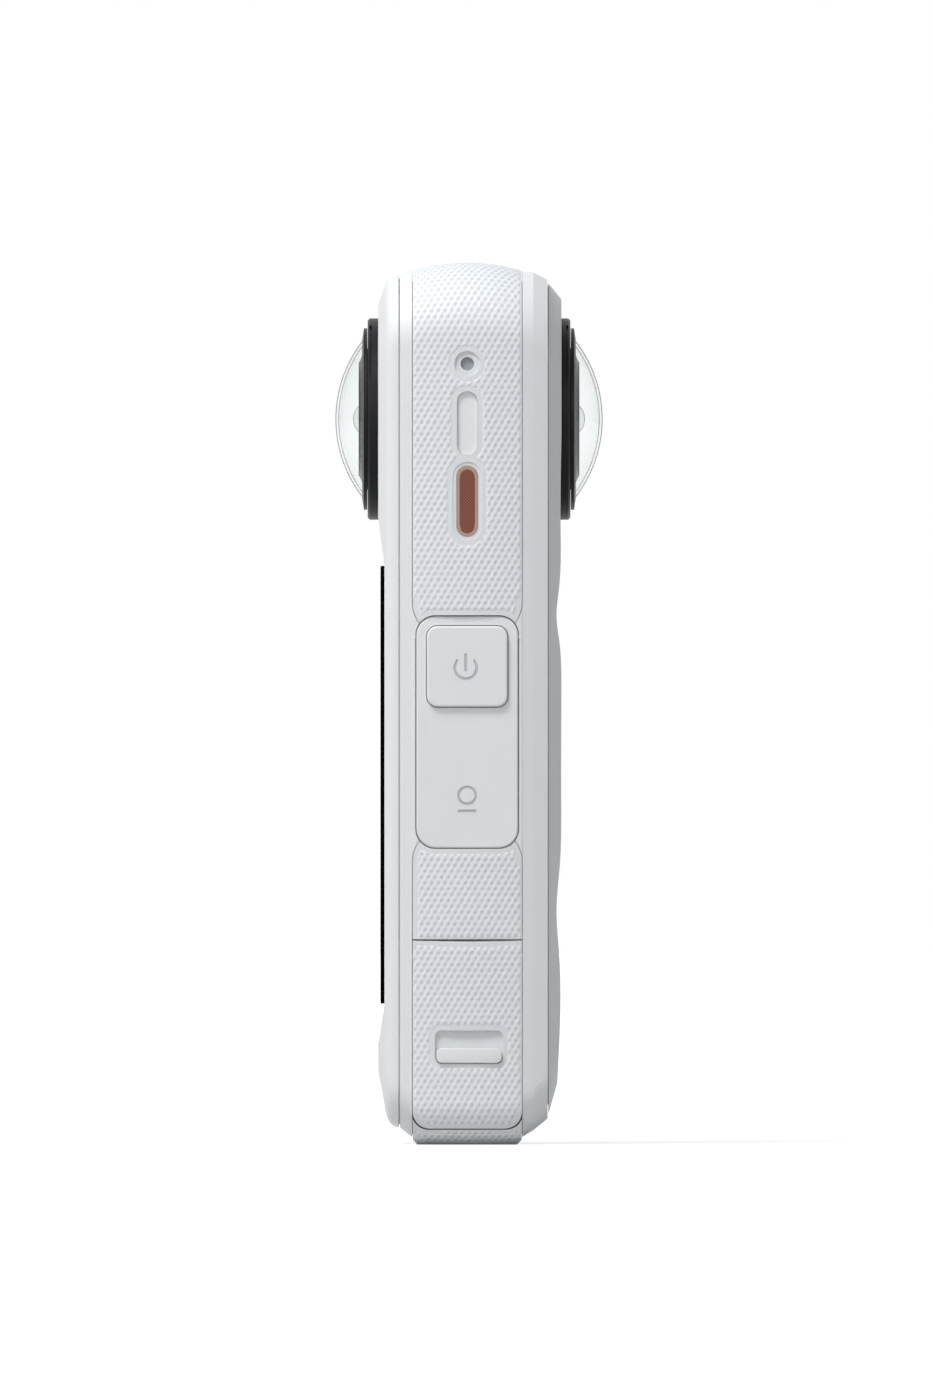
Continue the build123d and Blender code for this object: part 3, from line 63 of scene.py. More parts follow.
# %% [markdown]
# ## Colours and shader nodes
#
# A designer writes a colour as a hex value, which is how a screen stores it. Shaders work in linear
# light, so one function converts. A second function empties a node tree, and a third adds a shader
# node, fills its sockets and links it. With these, each material reads as a short recipe.

# %% Three helpers for every material
def linear(code):
    """Turn an sRGB hex value into the linear colour that a shader socket takes."""
    channels = [int(code[i:i + 2], 16) / 255 for i in (1, 3, 5)]
    return [c / 12.92 if c <= 0.04045 else ((c + 0.055) / 1.055) ** 2.4 for c in channels] + [1.0]


def blank_tree(owner):
    """Switch on the nodes of a material or of the world, and empty its tree."""
    owner.use_nodes = True
    owner.node_tree.nodes.clear()
    return owner.node_tree


def add_node(tree, kind, sockets, **settings):
    """Add a shader node. A socket gets a value, or a link when it is given another node's output."""
    node = tree.nodes.new(kind)
    for name, value in settings.items():
        setattr(node, name, value)
    for name, value in sockets.items():
        if isinstance(value, bpy.types.NodeSocket):
            tree.links.new(value, node.inputs[name])
        else:
            node.inputs[name].default_value = value
    return node


print("the middle grey #808080 is", round(linear("#808080")[0], 3), "in linear light")

# %% [markdown]
# Most parts of the camera share one recipe: two close shades mixed by a soft noise, and a fine grain
# that lifts and lowers the surface by a few thousandths of a millimetre. The grain's size is given in
# millimetres, so a moulded shell gets its spark texture and a milled plate its cutter marks. The soft
# noise is 14 mm wide, as wide as the clouds of shade that a mould leaves on a flat wall.

# %% One recipe for moulded, cast and milled surfaces
cloud_size = 14 * MM
gloss_swing = 0.05


def mixed(tree, share, first, second):
    """Mix of two shades by a share, and the sockets of its two colours."""
    mix = add_node(tree, "ShaderNodeMix", {0: share}, data_type="RGBA")
    colours = [socket for socket in mix.inputs if socket.type == "RGBA"]
    colours[0].default_value, colours[1].default_value = linear(first), linear(second)
    return mix, colours


def grained(name, dark, light, grain, depth, roughness, stretch=(1, 1, 1), **constants):
    """Material with a soft change of shade and a fine grain, both on the piece's own coordinates."""
    material = bpy.data.materials.new(name)
    tree = blank_tree(material)
    place = add_node(tree, "ShaderNodeTexCoord", {})
    along = add_node(tree, "ShaderNodeMapping", {"Vector": place.outputs["Object"], "Scale": stretch})
    cloud = add_node(tree, "ShaderNodeTexNoise", {
        "Vector": along.outputs["Vector"], "Scale": 1 / cloud_size, "Detail": 3.0})
    shade = mixed(tree, cloud.outputs["Fac"], dark, light)[0]
    grit = add_node(tree, "ShaderNodeTexNoise", {
        "Vector": along.outputs["Vector"], "Scale": 1 / (grain * MM), "Detail": 4.0, "Roughness": 0.6})
    relief = add_node(tree, "ShaderNodeBump", {
        "Height": grit.outputs["Fac"], "Distance": depth * MM, "Strength": 1.0})
    gloss = add_node(tree, "ShaderNodeMapRange", {
        "Value": grit.outputs["Fac"], "To Min": roughness - gloss_swing, "To Max": roughness + gloss_swing})
    skin = add_node(tree, "ShaderNodeBsdfPrincipled", {
        "Base Color": shade.outputs[2], "Roughness": gloss.outputs["Result"],
        "Normal": relief.outputs["Normal"], **constants})
    add_node(tree, "ShaderNodeOutputMaterial", {"Surface": skin.outputs["BSDF"]})
    return material


def skin_of(material):
    """Principled shader of a grained material."""
    return next(node for node in material.node_tree.nodes if node.type == "BSDF_PRINCIPLED")


print("clouds of shade", round(cloud_size / MM), "mm wide, roughness within", gloss_swing, "of its middle")

# %% [markdown]
# ## The finishes
#
# The shells are cool white polycarbonate, moulded against a spark textured tool: matt, with a faint
# sparkle. The grip is a thermoplastic elastomer, softer and rougher. Its pits hold shade, so the skin
# made later carries a value called pit, by which a darker shade is painted into them. The mesh over
# the microphones is woven, and the same value paints shade into the gaps between its threads.

# %% White shells, grips and the woven mesh
finishes = {
    "shell": grained("spark_moulded_polycarbonate", "#D9DBDD", "#DEE0E2", 0.22, 0.006, 0.46),
    "grip": grained("moulded_elastomer_margin", "#D3D6D8", "#DADDDF", 0.3, 0.008, 0.62),
    "light": grained("frosted_light_guide", "#B9C4C6", "#C9D2D4", 0.4, 0.003, 0.3),
}


def shade_painted_in_pits(name, pit_shade_colour, dark, light):
    """Surface whose pits or gaps, marked on the mesh, get a painted shade that is darker than its ridges."""
    material = grained(name, dark, light, 0.3, 0.006, 0.6)
    tree, skin = material.node_tree, skin_of(material)
    ridge = skin.inputs["Base Color"].links[0].from_socket
    mark = add_node(tree, "ShaderNodeAttribute", {}, attribute_name="pit")
    shaded, colours = mixed(tree, mark.outputs["Fac"], light, pit_shade_colour)
    tree.links.new(ridge, colours[0])
    tree.links.new(shaded.outputs[2], skin.inputs["Base Color"])
    return material


# The first colour is a painted shade in the grip's pits, darker than the elastomer's own two shades.
grip_skin = shade_painted_in_pits("elastomer_painted_pit_shade", "#B9BEC3", "#DFE2E4", "#E6E8EB")
# The first colour is a painted shade in the gaps of the weave, darker than the copper's own two shades.
woven_copper = shade_painted_in_pits("woven_coated_copper_gap_shade", "#26100A", "#8A4630", "#9C5138")
print("first finishes:", ", ".join(m.name for m in (*finishes.values(), grip_skin, woven_copper)))

# %% [markdown]
# The lens rings are turned aluminium, anodised satin black. The heads behind the domes are moulded
# black and baffle stray light. The parts inside have the finishes of their trades: rubber seals, a green
# solder mask, brushed steel and milled aluminium, whose marks run one way.

# %% Lens rings, screen and the parts inside
finishes.update({
    "lens_black": grained("black_anodised_aluminium", "#111113", "#18181A", 0.12, 0.004, 0.42,
                          **{"Specular IOR Level": 0.15}),
    "screen": grained("black_masked_glass", "#030304", "#060607", 3.0, 0.0004, 0.12,
                      **{"Specular IOR Level": 0.2}),
    "display": grained("display_panel", "#0C0D10", "#14161A", 0.3, 0.001, 0.3),
    "seal": grained("silicone_rubber", "#8A3B22", "#9C4629", 0.4, 0.006, 0.5),
    "steel": grained("brushed_stainless_steel", "#A9ABAE", "#B9BBBD", 0.12, 0.004, 0.34,
                     stretch=(1, 0.06, 1), Metallic=1.0),
    "board": grained("green_solder_mask", "#0E3B24", "#14492D", 0.5, 0.004, 0.38),
    "chip": grained("moulded_epoxy", "#1C1C1E", "#26262A", 0.15, 0.006, 0.55),
    "battery_shell": grained("dark_moulded_plastic", "#2A2B2E", "#34363A", 0.2, 0.006, 0.5),
    "metal_plate": grained("milled_aluminium", "#A8AAAD", "#BBBDBF", 0.2, 0.005, 0.4,
                           stretch=(0.08, 1, 1), Metallic=1.0),
    "mesh": grained("tan_cloth_rim", "#9E8577", "#AB9284", 0.3, 0.01, 0.6),
})
print("finishes so far:", ", ".join(finishes))

# %% [markdown]
# The screen is glass over a black mask, glossy on its face and painted black round its edge, so its
# gloss follows the way that the surface faces. The domes are hard coated acrylic. Behind a thin wall
# light hardly bends, so it goes straight through here, and the coating keeps the reflections low. Where
# the wall is seen along its length it looks grey, as the eye looks through much more of it, and that
# grey is painted on the steep edge.

# %% Glass and clear mouldings
glance_power, glance_gloss, face_gloss = 6.0, 0.5, 0.03
rim_fade = 0.06


def painted_edge(material):
    """Keep the gloss of a sheet of glass to its face."""
    tree = material.node_tree
    place = add_node(tree, "ShaderNodeTexCoord", {})
    way = add_node(tree, "ShaderNodeSeparateXYZ", {"Vector": place.outputs["Normal"]})
    flat = add_node(tree, "ShaderNodeMath", {0: way.outputs["Y"]}, operation="ABSOLUTE")
    level = add_node(tree, "ShaderNodeMapRange", {"Value": flat.outputs[0], "From Min": 0.9, "To Max": 0.5})
    tree.links.new(level.outputs["Result"], skin_of(material).inputs["Specular IOR Level"])


def clear_cover(name, tint, rim, steep):
    """Clear moulding: light goes straight through, the coating reflects a little, the steep edge is painted
    grey.
    """
    material = bpy.data.materials.new(name)
    tree = blank_tree(material)
    through = add_node(tree, "ShaderNodeBsdfTransparent", {"Color": linear(tint)})
    mirror = add_node(tree, "ShaderNodeBsdfPrincipled", {
        "Base Color": linear("#FFFFFF"), "Metallic": 1.0, "Roughness": 0.03})
    # The edge shader is a painted grey, standing in for how the wall looks where the eye sees it steeply.
    edge = add_node(tree, "ShaderNodeBsdfPrincipled", {
        "Base Color": linear(rim), "Roughness": 0.4, "Specular IOR Level": 0.1})
    slope = add_node(tree, "ShaderNodeLayerWeight", {"Blend": 0.5})
    steeper = add_node(tree, "ShaderNodeMath", {0: slope.outputs["Facing"], 1: glance_power}, operation="POWER")
    bounce = add_node(tree, "ShaderNodeMath", {0: steeper.outputs[0], 1: glance_gloss, 2: face_gloss},
                      operation="MULTIPLY_ADD")
    body = add_node(tree, "ShaderNodeMixShader", {
        0: bounce.outputs[0], 1: through.outputs[0], 2: mirror.outputs[0]})
    line = add_node(tree, "ShaderNodeMapRange", {
        "Value": slope.outputs["Facing"], "From Min": steep, "From Max": steep + rim_fade})
    skin = add_node(tree, "ShaderNodeMixShader", {
        0: line.outputs["Result"], 1: body.outputs[0], 2: edge.outputs[0]})
    add_node(tree, "ShaderNodeOutputMaterial", {"Surface": skin.outputs[0]})
    return material


painted_edge(finishes["screen"])
finishes["dome"] = clear_cover("hard_coated_acrylic", "#FEFFFF", "#6E7072", 0.86)
finishes["lens_glass"] = clear_cover("coated_lens_glass", "#F3F5F5", "#85888B", 0.72)

for node, slot in slot_of_node.items():
    for material_slot in bpy.data.objects[node].material_slots:
        material_slot.material = finishes[slot]
print("dressed", len(slot_of_node), "solids in", len(finishes), "finishes")

# %% [markdown]
# ## The pitted grip
#
# The grip is one texture that runs up the side of the camera, over its top and down the other side,
# across the seams of the doors. On the real part the mould presses rows of shallow round pits into the
# elastomer. They could be painted on as a bump, but the light would slide over their edges, so here they
# are real relief: a fine grid is laid on the solid, found by a line shot at it from outside, and each
# vertex is lifted or lowered by the pattern. Near a hole, a key or an edge the grid sinks into the solid,
# which leaves the smooth margin that the real mould has.
#
# The grid follows the band's outline: a foot corner, the straight side, a top corner and the flat top.
# Across its width the band is crowned, most of all on the top.

# %% The band's outline, from the frame
def reach_of(node):
    """Lowest and highest corner of a solid, as vectors."""
    low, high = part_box(node)
    return Vector(low), Vector(high)


right, left = 1, -1
band_low, band_high = reach_of("upper_grip_band")
edge_fall, top_fall = 0.45 * MM, 1.15 * MM
corner_radius, foot_radius = 10 * MM, 6 * MM
edge_width, edge_top = band_high.x - edge_fall, band_high.z - top_fall
band_middle, band_half = (band_low.y + band_high.y) / 2, (band_high.y - band_low.y) / 2
foot_length = foot_radius * math.pi / 2
side_length = edge_top - corner_radius - foot_radius
corner_length = corner_radius * math.pi / 2
half_path = foot_length + side_length + corner_length + edge_width - corner_radius
print("path round half the band:", round(half_path / MM, 1), "mm")


def band_place(travel, depth):
    """Point on the plain outline of the band, the way out of it, and how far the crown rises there.

    The travel starts under the right foot and goes up the right side, over the top and down the left.
    """
    up = min(travel, 2 * half_path - travel)
    side = right if travel <= half_path else left
    if up < foot_length:
        turn = up / foot_radius
        out = Vector((math.sin(turn), 0, -math.cos(turn)))
        point = Vector((edge_width - foot_radius, depth, foot_radius)) + out * foot_radius
    elif up < foot_length + side_length:
        out = Vector((1, 0, 0))
        point = Vector((edge_width, depth, foot_radius + up - foot_length))
    elif up < foot_length + side_length + corner_length:
        turn = (up - foot_length - side_length) / corner_radius
        out = Vector((math.cos(turn), 0, math.sin(turn)))
        point = Vector((edge_width - corner_radius, depth, edge_top - corner_radius)) + out * corner_radius
    else:
        out = Vector((0, 0, 1))
        point = Vector((half_path - up, depth, edge_top))
    crown = 1 - ((depth - band_middle) / band_half) ** 2
    rise = crown * (edge_fall * out.x + top_fall * max(out.z, 0))
    flip = Vector((side, 1, 1))
    return point * flip, out * flip, rise


def travel_to(height, side):
    """Distance travelled along the band's path to a height on the right or left side."""
    if height < foot_radius:
        up = foot_radius * math.acos(1 - height / foot_radius)
    else:
        up = foot_length + height - foot_radius
    return up if side == right else 2 * half_path - up


# %% [markdown]
# A new piece always ends the same way: its bmesh becomes an object at the origin, and it gets its
# material and the body that it rides on.

# %% Finish a new piece
def made_piece(sheet, name):
    """Turn a finished bmesh into an object at the origin, with smooth shading."""
    mesh = bpy.data.meshes.new(name)
    sheet.to_mesh(mesh)
    sheet.free()
    mesh.shade_smooth()
    piece = bpy.data.objects.new(name, mesh)
    bpy.context.scene.collection.objects.link(piece)
    return piece


def dressed(piece, material, body):
    """Give a new piece its material and the body that it rides on."""
    piece.data.materials.clear()
    piece.data.materials.append(material)
    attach(piece, body)
    return piece


# %% [markdown]
# Two functions do the work for every skin. One grows a weight from 0 at the rim of the good area to 1
# some cells further in. The other lays the grid, keeps it where the line meets the solid at the height
# that the outline promises, and drops it over holes and recesses, where the line goes too deep.

# %% Fade a skin towards its rim
def faded(good, bare, steps, border):
    """Weight of each grid point: 0 within some cells of the rim, then rising to 1.

    The grid's own border counts as rim if it is 0 cells wide, and is else a ramp of that many cells.
    """
    weight = np.zeros_like(good)
    for step in range(bare + steps):
        edge = np.pad(good, 1, mode="edge" if border else "constant")
        across = [edge[1:-1, :-2], edge[1:-1, 2:], edge[:-2, 1:-1], edge[2:, 1:-1]]
        corners = [edge[:-2, :-2], edge[2:, 2:], edge[:-2, 2:], edge[2:, :-2]]
        good = np.minimum.reduce([good, *across] + (corners if step % 2 else []))
        if step >= bare:
            weight += good / steps
    if border:
        ramps = [np.clip(np.minimum(np.arange(size), np.arange(size)[::-1]) / border, 0, 1)
                 for size in weight.shape]
        weight *= np.outer(*ramps)
    return weight * weight * (3 - 2 * weight)


print("weights over 11 cells:", np.round(faded(np.ones((11, 11)), 1, 3, 0)[5], 2))

# %% Lay a skin on a solid
shot_height, touch = 2 * MM, 0.09 * MM


def laid_skin(name, node, place, u_span, v_span, spacing, margin, relief, heights, border=0):
    """Grid laid on a solid, pressed with a pattern and sunk at its rim.

    The margin is how wide the bare rim and the soft change are, in millimetres. The heights are those of
    the rim, of a pit's floor and of a ridge.
    """
    columns = round(abs(u_span[1] - u_span[0]) / spacing)
    rows = round(abs(v_span[1] - v_span[0]) / spacing)
    rim, pit, ridge = heights
    solid = bpy.data.objects[node].data
    tree = BVHTree.FromPolygons([v.co for v in solid.vertices], [tuple(f.vertices) for f in solid.polygons])
    sheet = bmesh.new()
    mark = sheet.verts.layers.float.new("pit")
    bmesh.ops.create_grid(sheet, x_segments=columns, y_segments=rows, size=0.5)
    good = np.zeros((columns + 1, rows + 1))
    laid = []
    for vertex in sheet.verts:
        i, j = round((vertex.co.x + 0.5) * columns), round((vertex.co.y + 0.5) * rows)
        u = u_span[0] + i / columns * (u_span[1] - u_span[0])
        v = v_span[0] + j / rows * (v_span[1] - v_span[0])
        point, out, rise = place(u, v)
        hit = tree.ray_cast(point + out * shot_height, -out)[0]
        vertex.co = point
        if hit is not None and abs((hit - point).dot(out) - rise) < touch:
            good[i, j] = 1
            vertex.co = hit
        laid.append((vertex, i, j, out, relief(u, v)))
    bare, soft = (max(1, round(share * MM / spacing)) for share in margin)
    weight = faded(good, bare, soft, border)
    for vertex, i, j, out, depth in laid:
        share = weight[i, j]
        vertex.co += out * (share * (ridge + (pit - ridge) * depth) + (1 - share) * rim)
        # The pit value also sets how much painted shade the material lays in each pit or gap.
        vertex[mark] = share * depth
    hidden = {vertex for vertex, i, j, out, depth in laid if weight[i, j] == 0}
    bmesh.ops.delete(sheet, geom=[f for f in sheet.faces if all(v in hidden for v in f.verts)], context="FACES")
    ways = {vertex: out for vertex, i, j, out, depth in laid if vertex.is_valid}
    sheet.normal_update()
    first = next(iter(sheet.faces))
    if first.normal.dot(ways[first.verts[0]]) < 0:
        bmesh.ops.reverse_faces(sheet, faces=sheet.faces[:])
    return made_piece(sheet, name)


print("a line that meets the solid within", round(touch / MM, 2), "mm of the outline lays a vertex")

# %% [markdown]
# The pits stand on a triangular lattice, 0.95 mm apart, so a row starts half a step from the row below.
# Three waves at 60 degrees to each other add up to exactly that: their sum peaks at the lattice points.
# The first wave counts twice, so the ridges run on unbroken in one direction, up to the right. The sum
# peaks at 4, and everything below -2.2 is flat ridge.

# %% The pattern of the pits
pit_pitch = 0.95 * MM
wave_floor, wave_peak, pit_slope = -2.2, 4.0, 1.2


def hex_pits(along, across):
    """1 in the middle of a pit and 0 on the ridges between pits."""
    turn, slant = 2 * math.pi / pit_pitch, 1 / math.sqrt(3)
    waves = (math.cos(turn * (across - along * slant)), math.cos(turn * 2 * along * slant),
             math.cos(turn * (across + along * slant)))
    leaning = 2 * waves[0] + waves[1] + waves[2]
    return max(0, (leaning - wave_floor) / (wave_peak - wave_floor)) ** pit_slope


print("depth of the pattern in a pit and beside it:", hex_pits(0, 0), round(hex_pits(0, pit_pitch / 2), 2))

# %% [markdown]
# Each stretch of the band gets a skin of its own, as the real grip is cut at the doors' seams. A stretch
# starts and ends at a height on the right or left side. The upper one starts at the rounded corners of
# the key plate, and the two below the doors leave the flat foot bare.

# %% The skins of the grip
plate_corner, foot_end, toe_start = 2.7 * MM, 1.2 * MM, 0.4 * MM
skin_spacing, skin_margin = 0.17 * MM, (0.3, 0.45)
skin_heights = (-0.05 * MM, 0.002 * MM, 0.09 * MM)
plate_top = reach_of("quick_button")[1].z
lower, door, usb, foot = (reach_of(node) for node in (
    "lower_grip_band", "battery_door", "usb_door", "bottom_grip_band"))
grip_spans = [
    ("upper_grip_skin", "upper_grip_band", plate_top - plate_corner, right, band_low.z, left),
    ("lower_grip_skin", "lower_grip_band", lower[0].z, right, lower[1].z, right),
    ("battery_door_skin", "battery_door", door[0].z, right, door[1].z, right),
    ("usb_door_skin", "usb_door", usb[1].z, left, usb[0].z, left),
    ("bottom_grip_skin", "bottom_grip_band", foot[1].z, left, foot_end, left),
    ("toe_grip_skin", "bottom_grip_band", toe_start, right, door[0].z, right),
]
for name, node, start, start_side, end, end_side in grip_spans:
    skin = laid_skin(name, node, band_place, (travel_to(start, start_side), travel_to(end, end_side)),
                     (band_low.y, band_high.y), skin_spacing, skin_margin, hex_pits, skin_heights, border=2)
    dressed(skin, grip_skin, body_of_node[node])
    print(name, "has", len(skin.data.polygons), "faces")

# %% [markdown]
# ## The woven mesh
#
# A fine metal mesh covers the microphones and lets sound through. It is woven and coated copper brown.
# The threads are thinner than a pixel here, so the weave is drawn at the pitch that shows, about half a
# millimetre, with shade painted into the gaps between the crossings. A paler rim of cloth is left round it.

# %% Weave over the two sound pills
weave_pitch, weave_spacing, weave_margin = 0.46 * MM, 0.07 * MM, (0.42, 0.1)
weave_heights = (-0.01 * MM, 0.004 * MM, 0.05 * MM)


def weave(along, across):
    """1 in the gaps of the weave and 0 on its crossings."""
    turn = 2 * math.pi / weave_pitch
    return 0.5 - 0.5 * math.cos(turn * along) * math.cos(turn * across)


for node, side in (("mic_mesh_right", right), ("mic_mesh_left", left)):
    low, high = reach_of(node)
    face = max(abs(low.x), abs(high.x)) * side

    def pill_place(along, across, face=face, side=side):
        """Point on the flat face of a pill."""
        return Vector((face, across, along)), Vector((side, 0, 0)), 0

    cloth = laid_skin(f"{node}_weave", node, pill_place, (low.z, high.z), (low.y, high.y), weave_spacing,
                      weave_margin, weave, weave_heights)
    dressed(cloth, woven_copper, body_of_node[node])
    print(cloth.name, "has", len(cloth.data.polygons), "faces")

# %% [markdown]
# ## Marks on the keys
#
# The two marks are engraved in the solids. The shade that each groove holds is painted: a thin grey
# inlay lies on each groove's floor. The open ring and its stroke is the common sign for power. The
# ring over a bar is a plain sign of this lesson's own. A ring or a bar is made flat, then one function
# stands it up against the right side and gives it a thickness.

# %% Flat shapes that stand on the right side
inlay_depth = 0.06 * MM


def stood_up(sheet, centre, name):
    """Turn a flat shape so that it faces right, put it in its place and give it a thickness."""
    turn = Matrix(((0, 0, 1), (1, 0, 0), (0, 1, 0))).to_4x4()
    bmesh.ops.transform(sheet, matrix=Matrix.Translation(centre) @ turn, verts=sheet.verts[:])
    bmesh.ops.recalc_face_normals(sheet, faces=sheet.faces[:])
    lifted = bmesh.ops.extrude_face_region(sheet, geom=sheet.faces[:])["geom"]
    bmesh.ops.translate(sheet, vec=(inlay_depth, 0, 0),
                        verts=[v for v in lifted if isinstance(v, bmesh.types.BMVert)])
    bmesh.ops.recalc_face_normals(sheet, faces=sheet.faces[:])
    piece = made_piece(sheet, name)
    piece.data.shade_flat()
    return piece


def ring_inlay(centre, radius, width, gap, name):
    """Flat ring facing right, open at its top where a gap is given."""
    sheet = bmesh.new()
    bmesh.ops.create_circle(sheet, cap_ends=False, radius=radius + width / 2, segments=96)
    inner = bmesh.ops.extrude_edge_only(sheet, edges=sheet.edges[:])["geom"]
    share = (radius - width / 2) / (radius + width / 2)
    bmesh.ops.scale(sheet, vec=(share, share, 1), verts=[v for v in inner if isinstance(v, bmesh.types.BMVert)])
    opened = [f for f in sheet.faces if gap > 0 and f.calc_center_median().y > 0
              and abs(f.calc_center_median().x) < gap / 2]
    bmesh.ops.delete(sheet, geom=opened, context="FACES")
    return stood_up(sheet, centre, name)


def bar_inlay(centre, width, height, name):
    """Flat bar facing right."""
    sheet = bmesh.new()
    bmesh.ops.create_grid(sheet, x_segments=1, y_segments=1, size=0.5)
    bmesh.ops.scale(sheet, vec=(width, height, 1), verts=sheet.verts[:])
    return stood_up(sheet, centre, name)


print("inlays are", round(inlay_depth / MM, 2), "mm thick")

# %% Painted shade in the grooves
# The grey sheets on the groove floors paint the shade that the engraved grooves hold.
groove_shade = grained("painted_groove_shade", "#B2B7BB", "#BABFC3", 0.3, 0.003, 0.55)
mark_floor, mark_line = 0.15 * MM, 0.38 * MM
power_radius, power_gap, stroke_length, stroke_rise = 1.55 * MM, 2.2 * MM, 2.46 * MM, 0.75 * MM
plate_radius, bar_length, bar_drop = 1.2 * MM, 2.58 * MM, 2.2 * MM
power_centre = Vector((reach_of("power_button")[1].x - mark_floor, band_middle - 0.2 * MM, 67.3 * MM))
plate_centre = Vector((reach_of("quick_button")[1].x - mark_floor, band_middle, 49.3 * MM))
stroke_centre = power_centre + Vector((0, 0, stroke_rise))
bar_centre = plate_centre - Vector((0, 0, bar_drop))
marks = [
    (ring_inlay(power_centre, power_radius, mark_line, power_gap, "power_mark_ring"), "power_button"),
    (bar_inlay(stroke_centre, mark_line, stroke_length, "power_mark_stroke"), "power_button"),
    (ring_inlay(plate_centre, plate_radius, mark_line, 0, "quick_mark_ring"), "quick_button"),
    (bar_inlay(bar_centre, bar_length, mark_line, "quick_mark_bar"), "quick_button"),
]
for piece, body in marks:
    dressed(piece, groove_shade, body)
print("inlays:", ", ".join(piece.name for piece, body in marks))

# %% [markdown]
# A small microphone hole near the top has a grey acoustic cloth just inside, so it never looks black.

# %% Cloth in the microphone hole
cloth_radius, cloth_inset, hole_height = 0.97 * MM, 0.75 * MM, 110.16 * MM
acoustic_cloth = grained("grey_acoustic_cloth", "#84898D", "#9BA0A4", 0.2, 0.02, 0.7)
sheet = bmesh.new()
bmesh.ops.create_circle(sheet, cap_ends=True, radius=cloth_radius, segments=48)
hole_cloth = stood_up(sheet, Vector((band_high.x - cloth_inset, band_middle, hole_height)), "microphone_cloth")
dressed(hole_cloth, acoustic_cloth, "root")
print("cloth faces:", len(hole_cloth.data.polygons))

# %% [markdown]
# ## Softened latches
#
# A moulded slider has no sharp edge, because a finger pushes it. The solid is a plain block, so a copy
# of it is merged, cleaned of the triangulation and bevelled. The copy then stands for the solid.

# %% Bevel a copy of each latch
latch_edge, merge_distance = 0.12 * MM, 0.001 * MM
flat_angle, sharp_angle = math.radians(1), math.radians(30)


def softened(node, radius, slot):
    """Bevelled copy of a blocky solid, which replaces it."""
    sheet = bmesh.new()
    sheet.from_mesh(bpy.data.objects[node].data)
    bmesh.ops.remove_doubles(sheet, verts=sheet.verts[:], dist=merge_distance)
    bmesh.ops.dissolve_limit(sheet, angle_limit=flat_angle, verts=sheet.verts[:], edges=sheet.edges[:])
    sharp = [e for e in sheet.edges if len(e.link_faces) == 2 and e.calc_face_angle(0) > sharp_angle]
    bmesh.ops.bevel(sheet, geom=sharp, offset=radius, segments=3, profile=0.5, affect="EDGES", material=-1)
    piece = made_piece(sheet, f"{node}_soft")
    dressed(piece, finishes[slot], body_of_node[node])
    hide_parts(node)
    return piece


for node in ("battery_latch", "usb_latch"):
    soft_latch = softened(node, latch_edge, slot_of_node[node])
    print(soft_latch.name, "has", len(soft_latch.data.polygons), "faces")

# %% [markdown]
# ## Floor, light and camera
#
# The camera stands on a plain white floor in a white room. Rays from the eye, and those seen in glass
# and metal, meet a white of strength 1. All other rays meet a dimmer room, so that the white body isn't
# washed out.

# %% A white room
def seen_by_eye(tree):
    """Factor that is 1 for rays from the eye and for those seen in glass or in a gloss."""
    path = add_node(tree, "ShaderNodeLightPath", {})
    either = add_node(tree, "ShaderNodeMath", {
        0: path.outputs["Is Camera Ray"], 1: path.outputs["Is Glossy Ray"]}, operation="MAXIMUM")
    every = add_node(tree, "ShaderNodeMath", {
        0: either.outputs[0], 1: path.outputs["Is Transmission Ray"]}, operation="MAXIMUM")
    return every.outputs[0]


room = bpy.data.worlds.new("white_room")
bpy.context.scene.world = room
room_tree = blank_tree(room)
dim = add_node(room_tree, "ShaderNodeBackground", {"Color": linear("#FAFBFF"), "Strength": 0.19})
white = add_node(room_tree, "ShaderNodeBackground", {"Color": linear("#FFFFFF"), "Strength": 1.0})
room_mix = add_node(room_tree, "ShaderNodeMixShader", {
    0: seen_by_eye(room_tree), 1: dim.outputs[0], 2: white.outputs[0]})
add_node(room_tree, "ShaderNodeOutputWorld", {"Surface": room_mix.outputs[0]})
print("room:", room.name, "with", len(room_tree.nodes), "nodes")

# %% [markdown]
# The floor adds that same trick to a real diffuse surface, which keeps the object's shadow. It glows a
# little more further off, where the lamps are weaker, so it stays as white as the room behind it.

# %% A floor that keeps the shadow
floor_reach = 6.0
glow_near, glow_far = 0.2, 1.0
paper = bpy.data.materials.new("matt_white_paper")
paper_tree = blank_tree(paper)
matt = add_node(paper_tree, "ShaderNodeBsdfDiffuse", {"Color": linear("#C8C8C8")})
spot = add_node(paper_tree, "ShaderNodeTexCoord", {})
away = add_node(paper_tree, "ShaderNodeVectorMath", {0: spot.outputs["Object"]}, operation="LENGTH")
lift = add_node(paper_tree, "ShaderNodeMapRange", {
    "Value": away.outputs["Value"], "From Min": glow_near, "From Max": glow_far, "To Min": 0.74, "To Max": 1.1})
glow = add_node(paper_tree, "ShaderNodeEmission", {
    "Color": linear("#FFFFFF"), "Strength": lift.outputs["Result"]})
none = add_node(paper_tree, "ShaderNodeEmission", {"Strength": 0.0})
seen = add_node(paper_tree, "ShaderNodeMixShader", {
    0: seen_by_eye(paper_tree), 1: none.outputs[0], 2: glow.outputs[0]})
both = add_node(paper_tree, "ShaderNodeAddShader", {0: matt.outputs[0], 1: seen.outputs[0]})
add_node(paper_tree, "ShaderNodeOutputMaterial", {"Surface": both.outputs[0]})

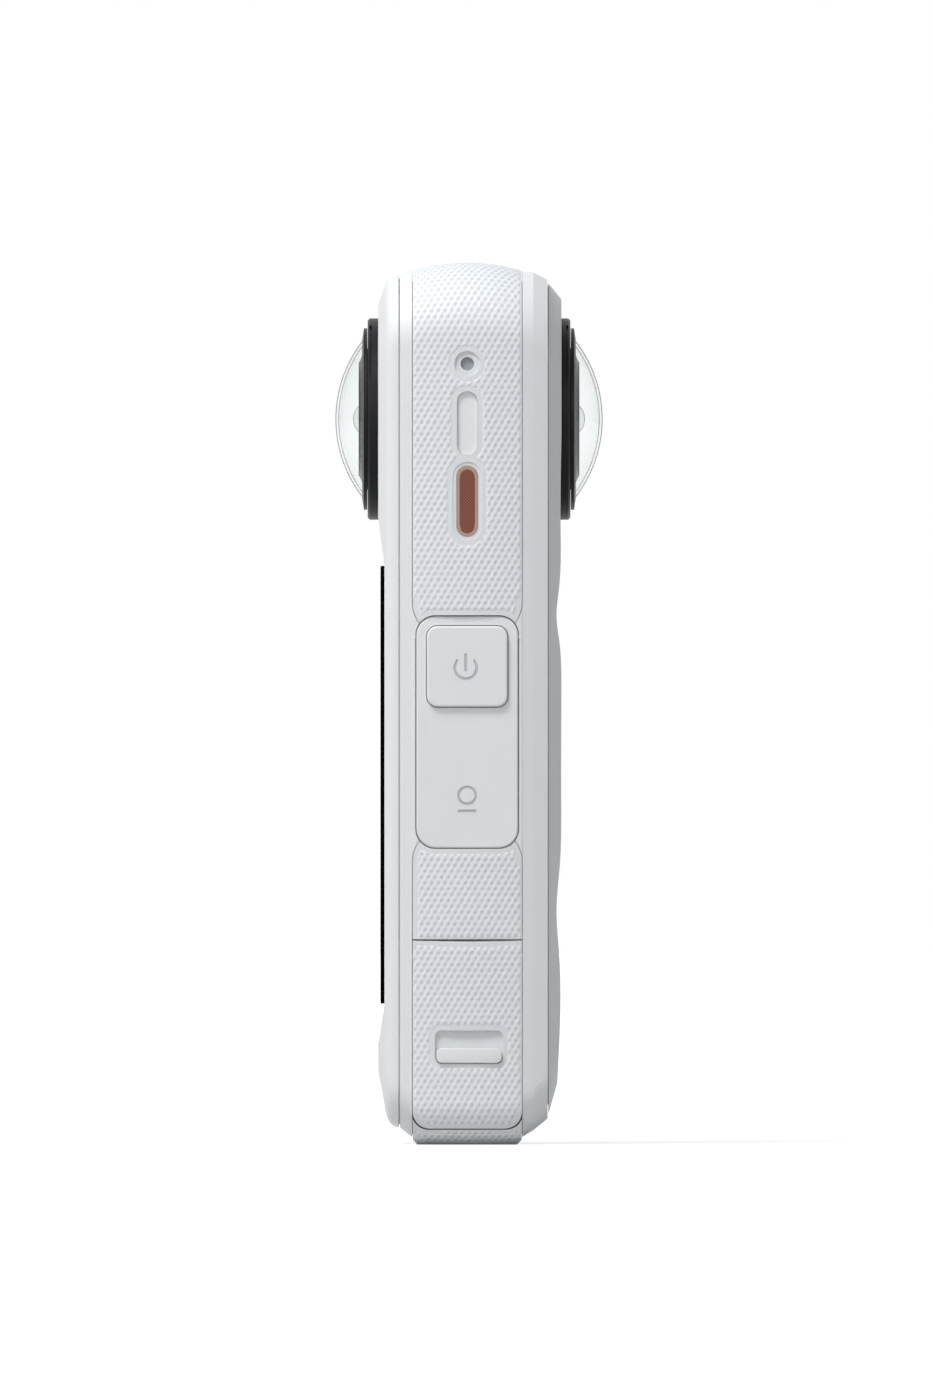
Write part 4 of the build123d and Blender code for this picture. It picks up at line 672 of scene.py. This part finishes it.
ground = bmesh.new()
bmesh.ops.create_grid(ground, x_segments=1, y_segments=1, size=floor_reach)
floor = made_piece(ground, "floor")
floor.data.materials.append(paper)
print("floor:", 2 * floor_reach, "m wide")

# %% [markdown]
# The photograph is lit softly from above and in front. Here a small lamp high on the screen side gives
# the relief its shade, a broad one in front keeps the face towards the eye evenly bright, and a weak
# one beyond the screen side brightens that edge. Nothing lights the grip side, so its facet is darkest.

# %% Soft lamps
def soft_lamp(name, place, aim, size, power):
    """Square area lamp at a place, turned to face a point. The size is in metres, the power in watts."""
    lamp = bpy.data.lights.new(name, "AREA")
    lamp.energy, lamp.size = power, size
    holder = bpy.data.objects.new(name, lamp)
    holder.location = place
    holder.rotation_euler = (Vector(aim) - Vector(place)).to_track_quat("-Z", "Y").to_euler()
    bpy.context.scene.collection.objects.link(holder)


middle = (0, 0, 0.062)
soft_lamp("key_lamp", (0.42, -0.4, 0.95), middle, 0.35, 10.2)
soft_lamp("front_lamp", (1.8, -0.1, 0.9), middle, 1.0, 7.6)
soft_lamp("edge_lamp", (0.0, -1.3, 0.8), middle, 0.8, 2.0)
print("lamps:", ", ".join(lamp.name for lamp in bpy.data.lights))

# %% [markdown]
# The photograph looks straight at the side with the keys, from so far off that the two domes show no
# perspective. A very long lens from eight metres gives that. The frame is 1400 pixels tall, and each of
# them covers 0.1412 mm at the plane where most of the outline lies, 14 mm in front of the middle.

# %% Camera
pixel = 0.1412 * MM
frame_rows, frame_columns = 1400, 933
middle_column, foot_row = 469.0, 1144.5
distance, near_plane = 8.0, 14 * MM
lens = bpy.data.cameras.new("side_view")
lens.sensor_fit = "VERTICAL"
lens.sensor_height = 24
lens.lens = lens.sensor_height * (distance - near_plane) / (frame_rows * pixel)
lens.clip_end = 50
eye = bpy.data.objects.new("side_view", lens)
eye.location = (distance, (frame_columns / 2 - middle_column) * pixel, (foot_row - frame_rows / 2) * pixel)
eye.rotation_euler = (math.pi / 2, 0, math.pi / 2)
bpy.context.scene.collection.objects.link(eye)
bpy.context.scene.camera = eye
bpy.context.scene.view_settings.view_transform = "Standard"
print("lens:", round(lens.lens, 1), "mm")
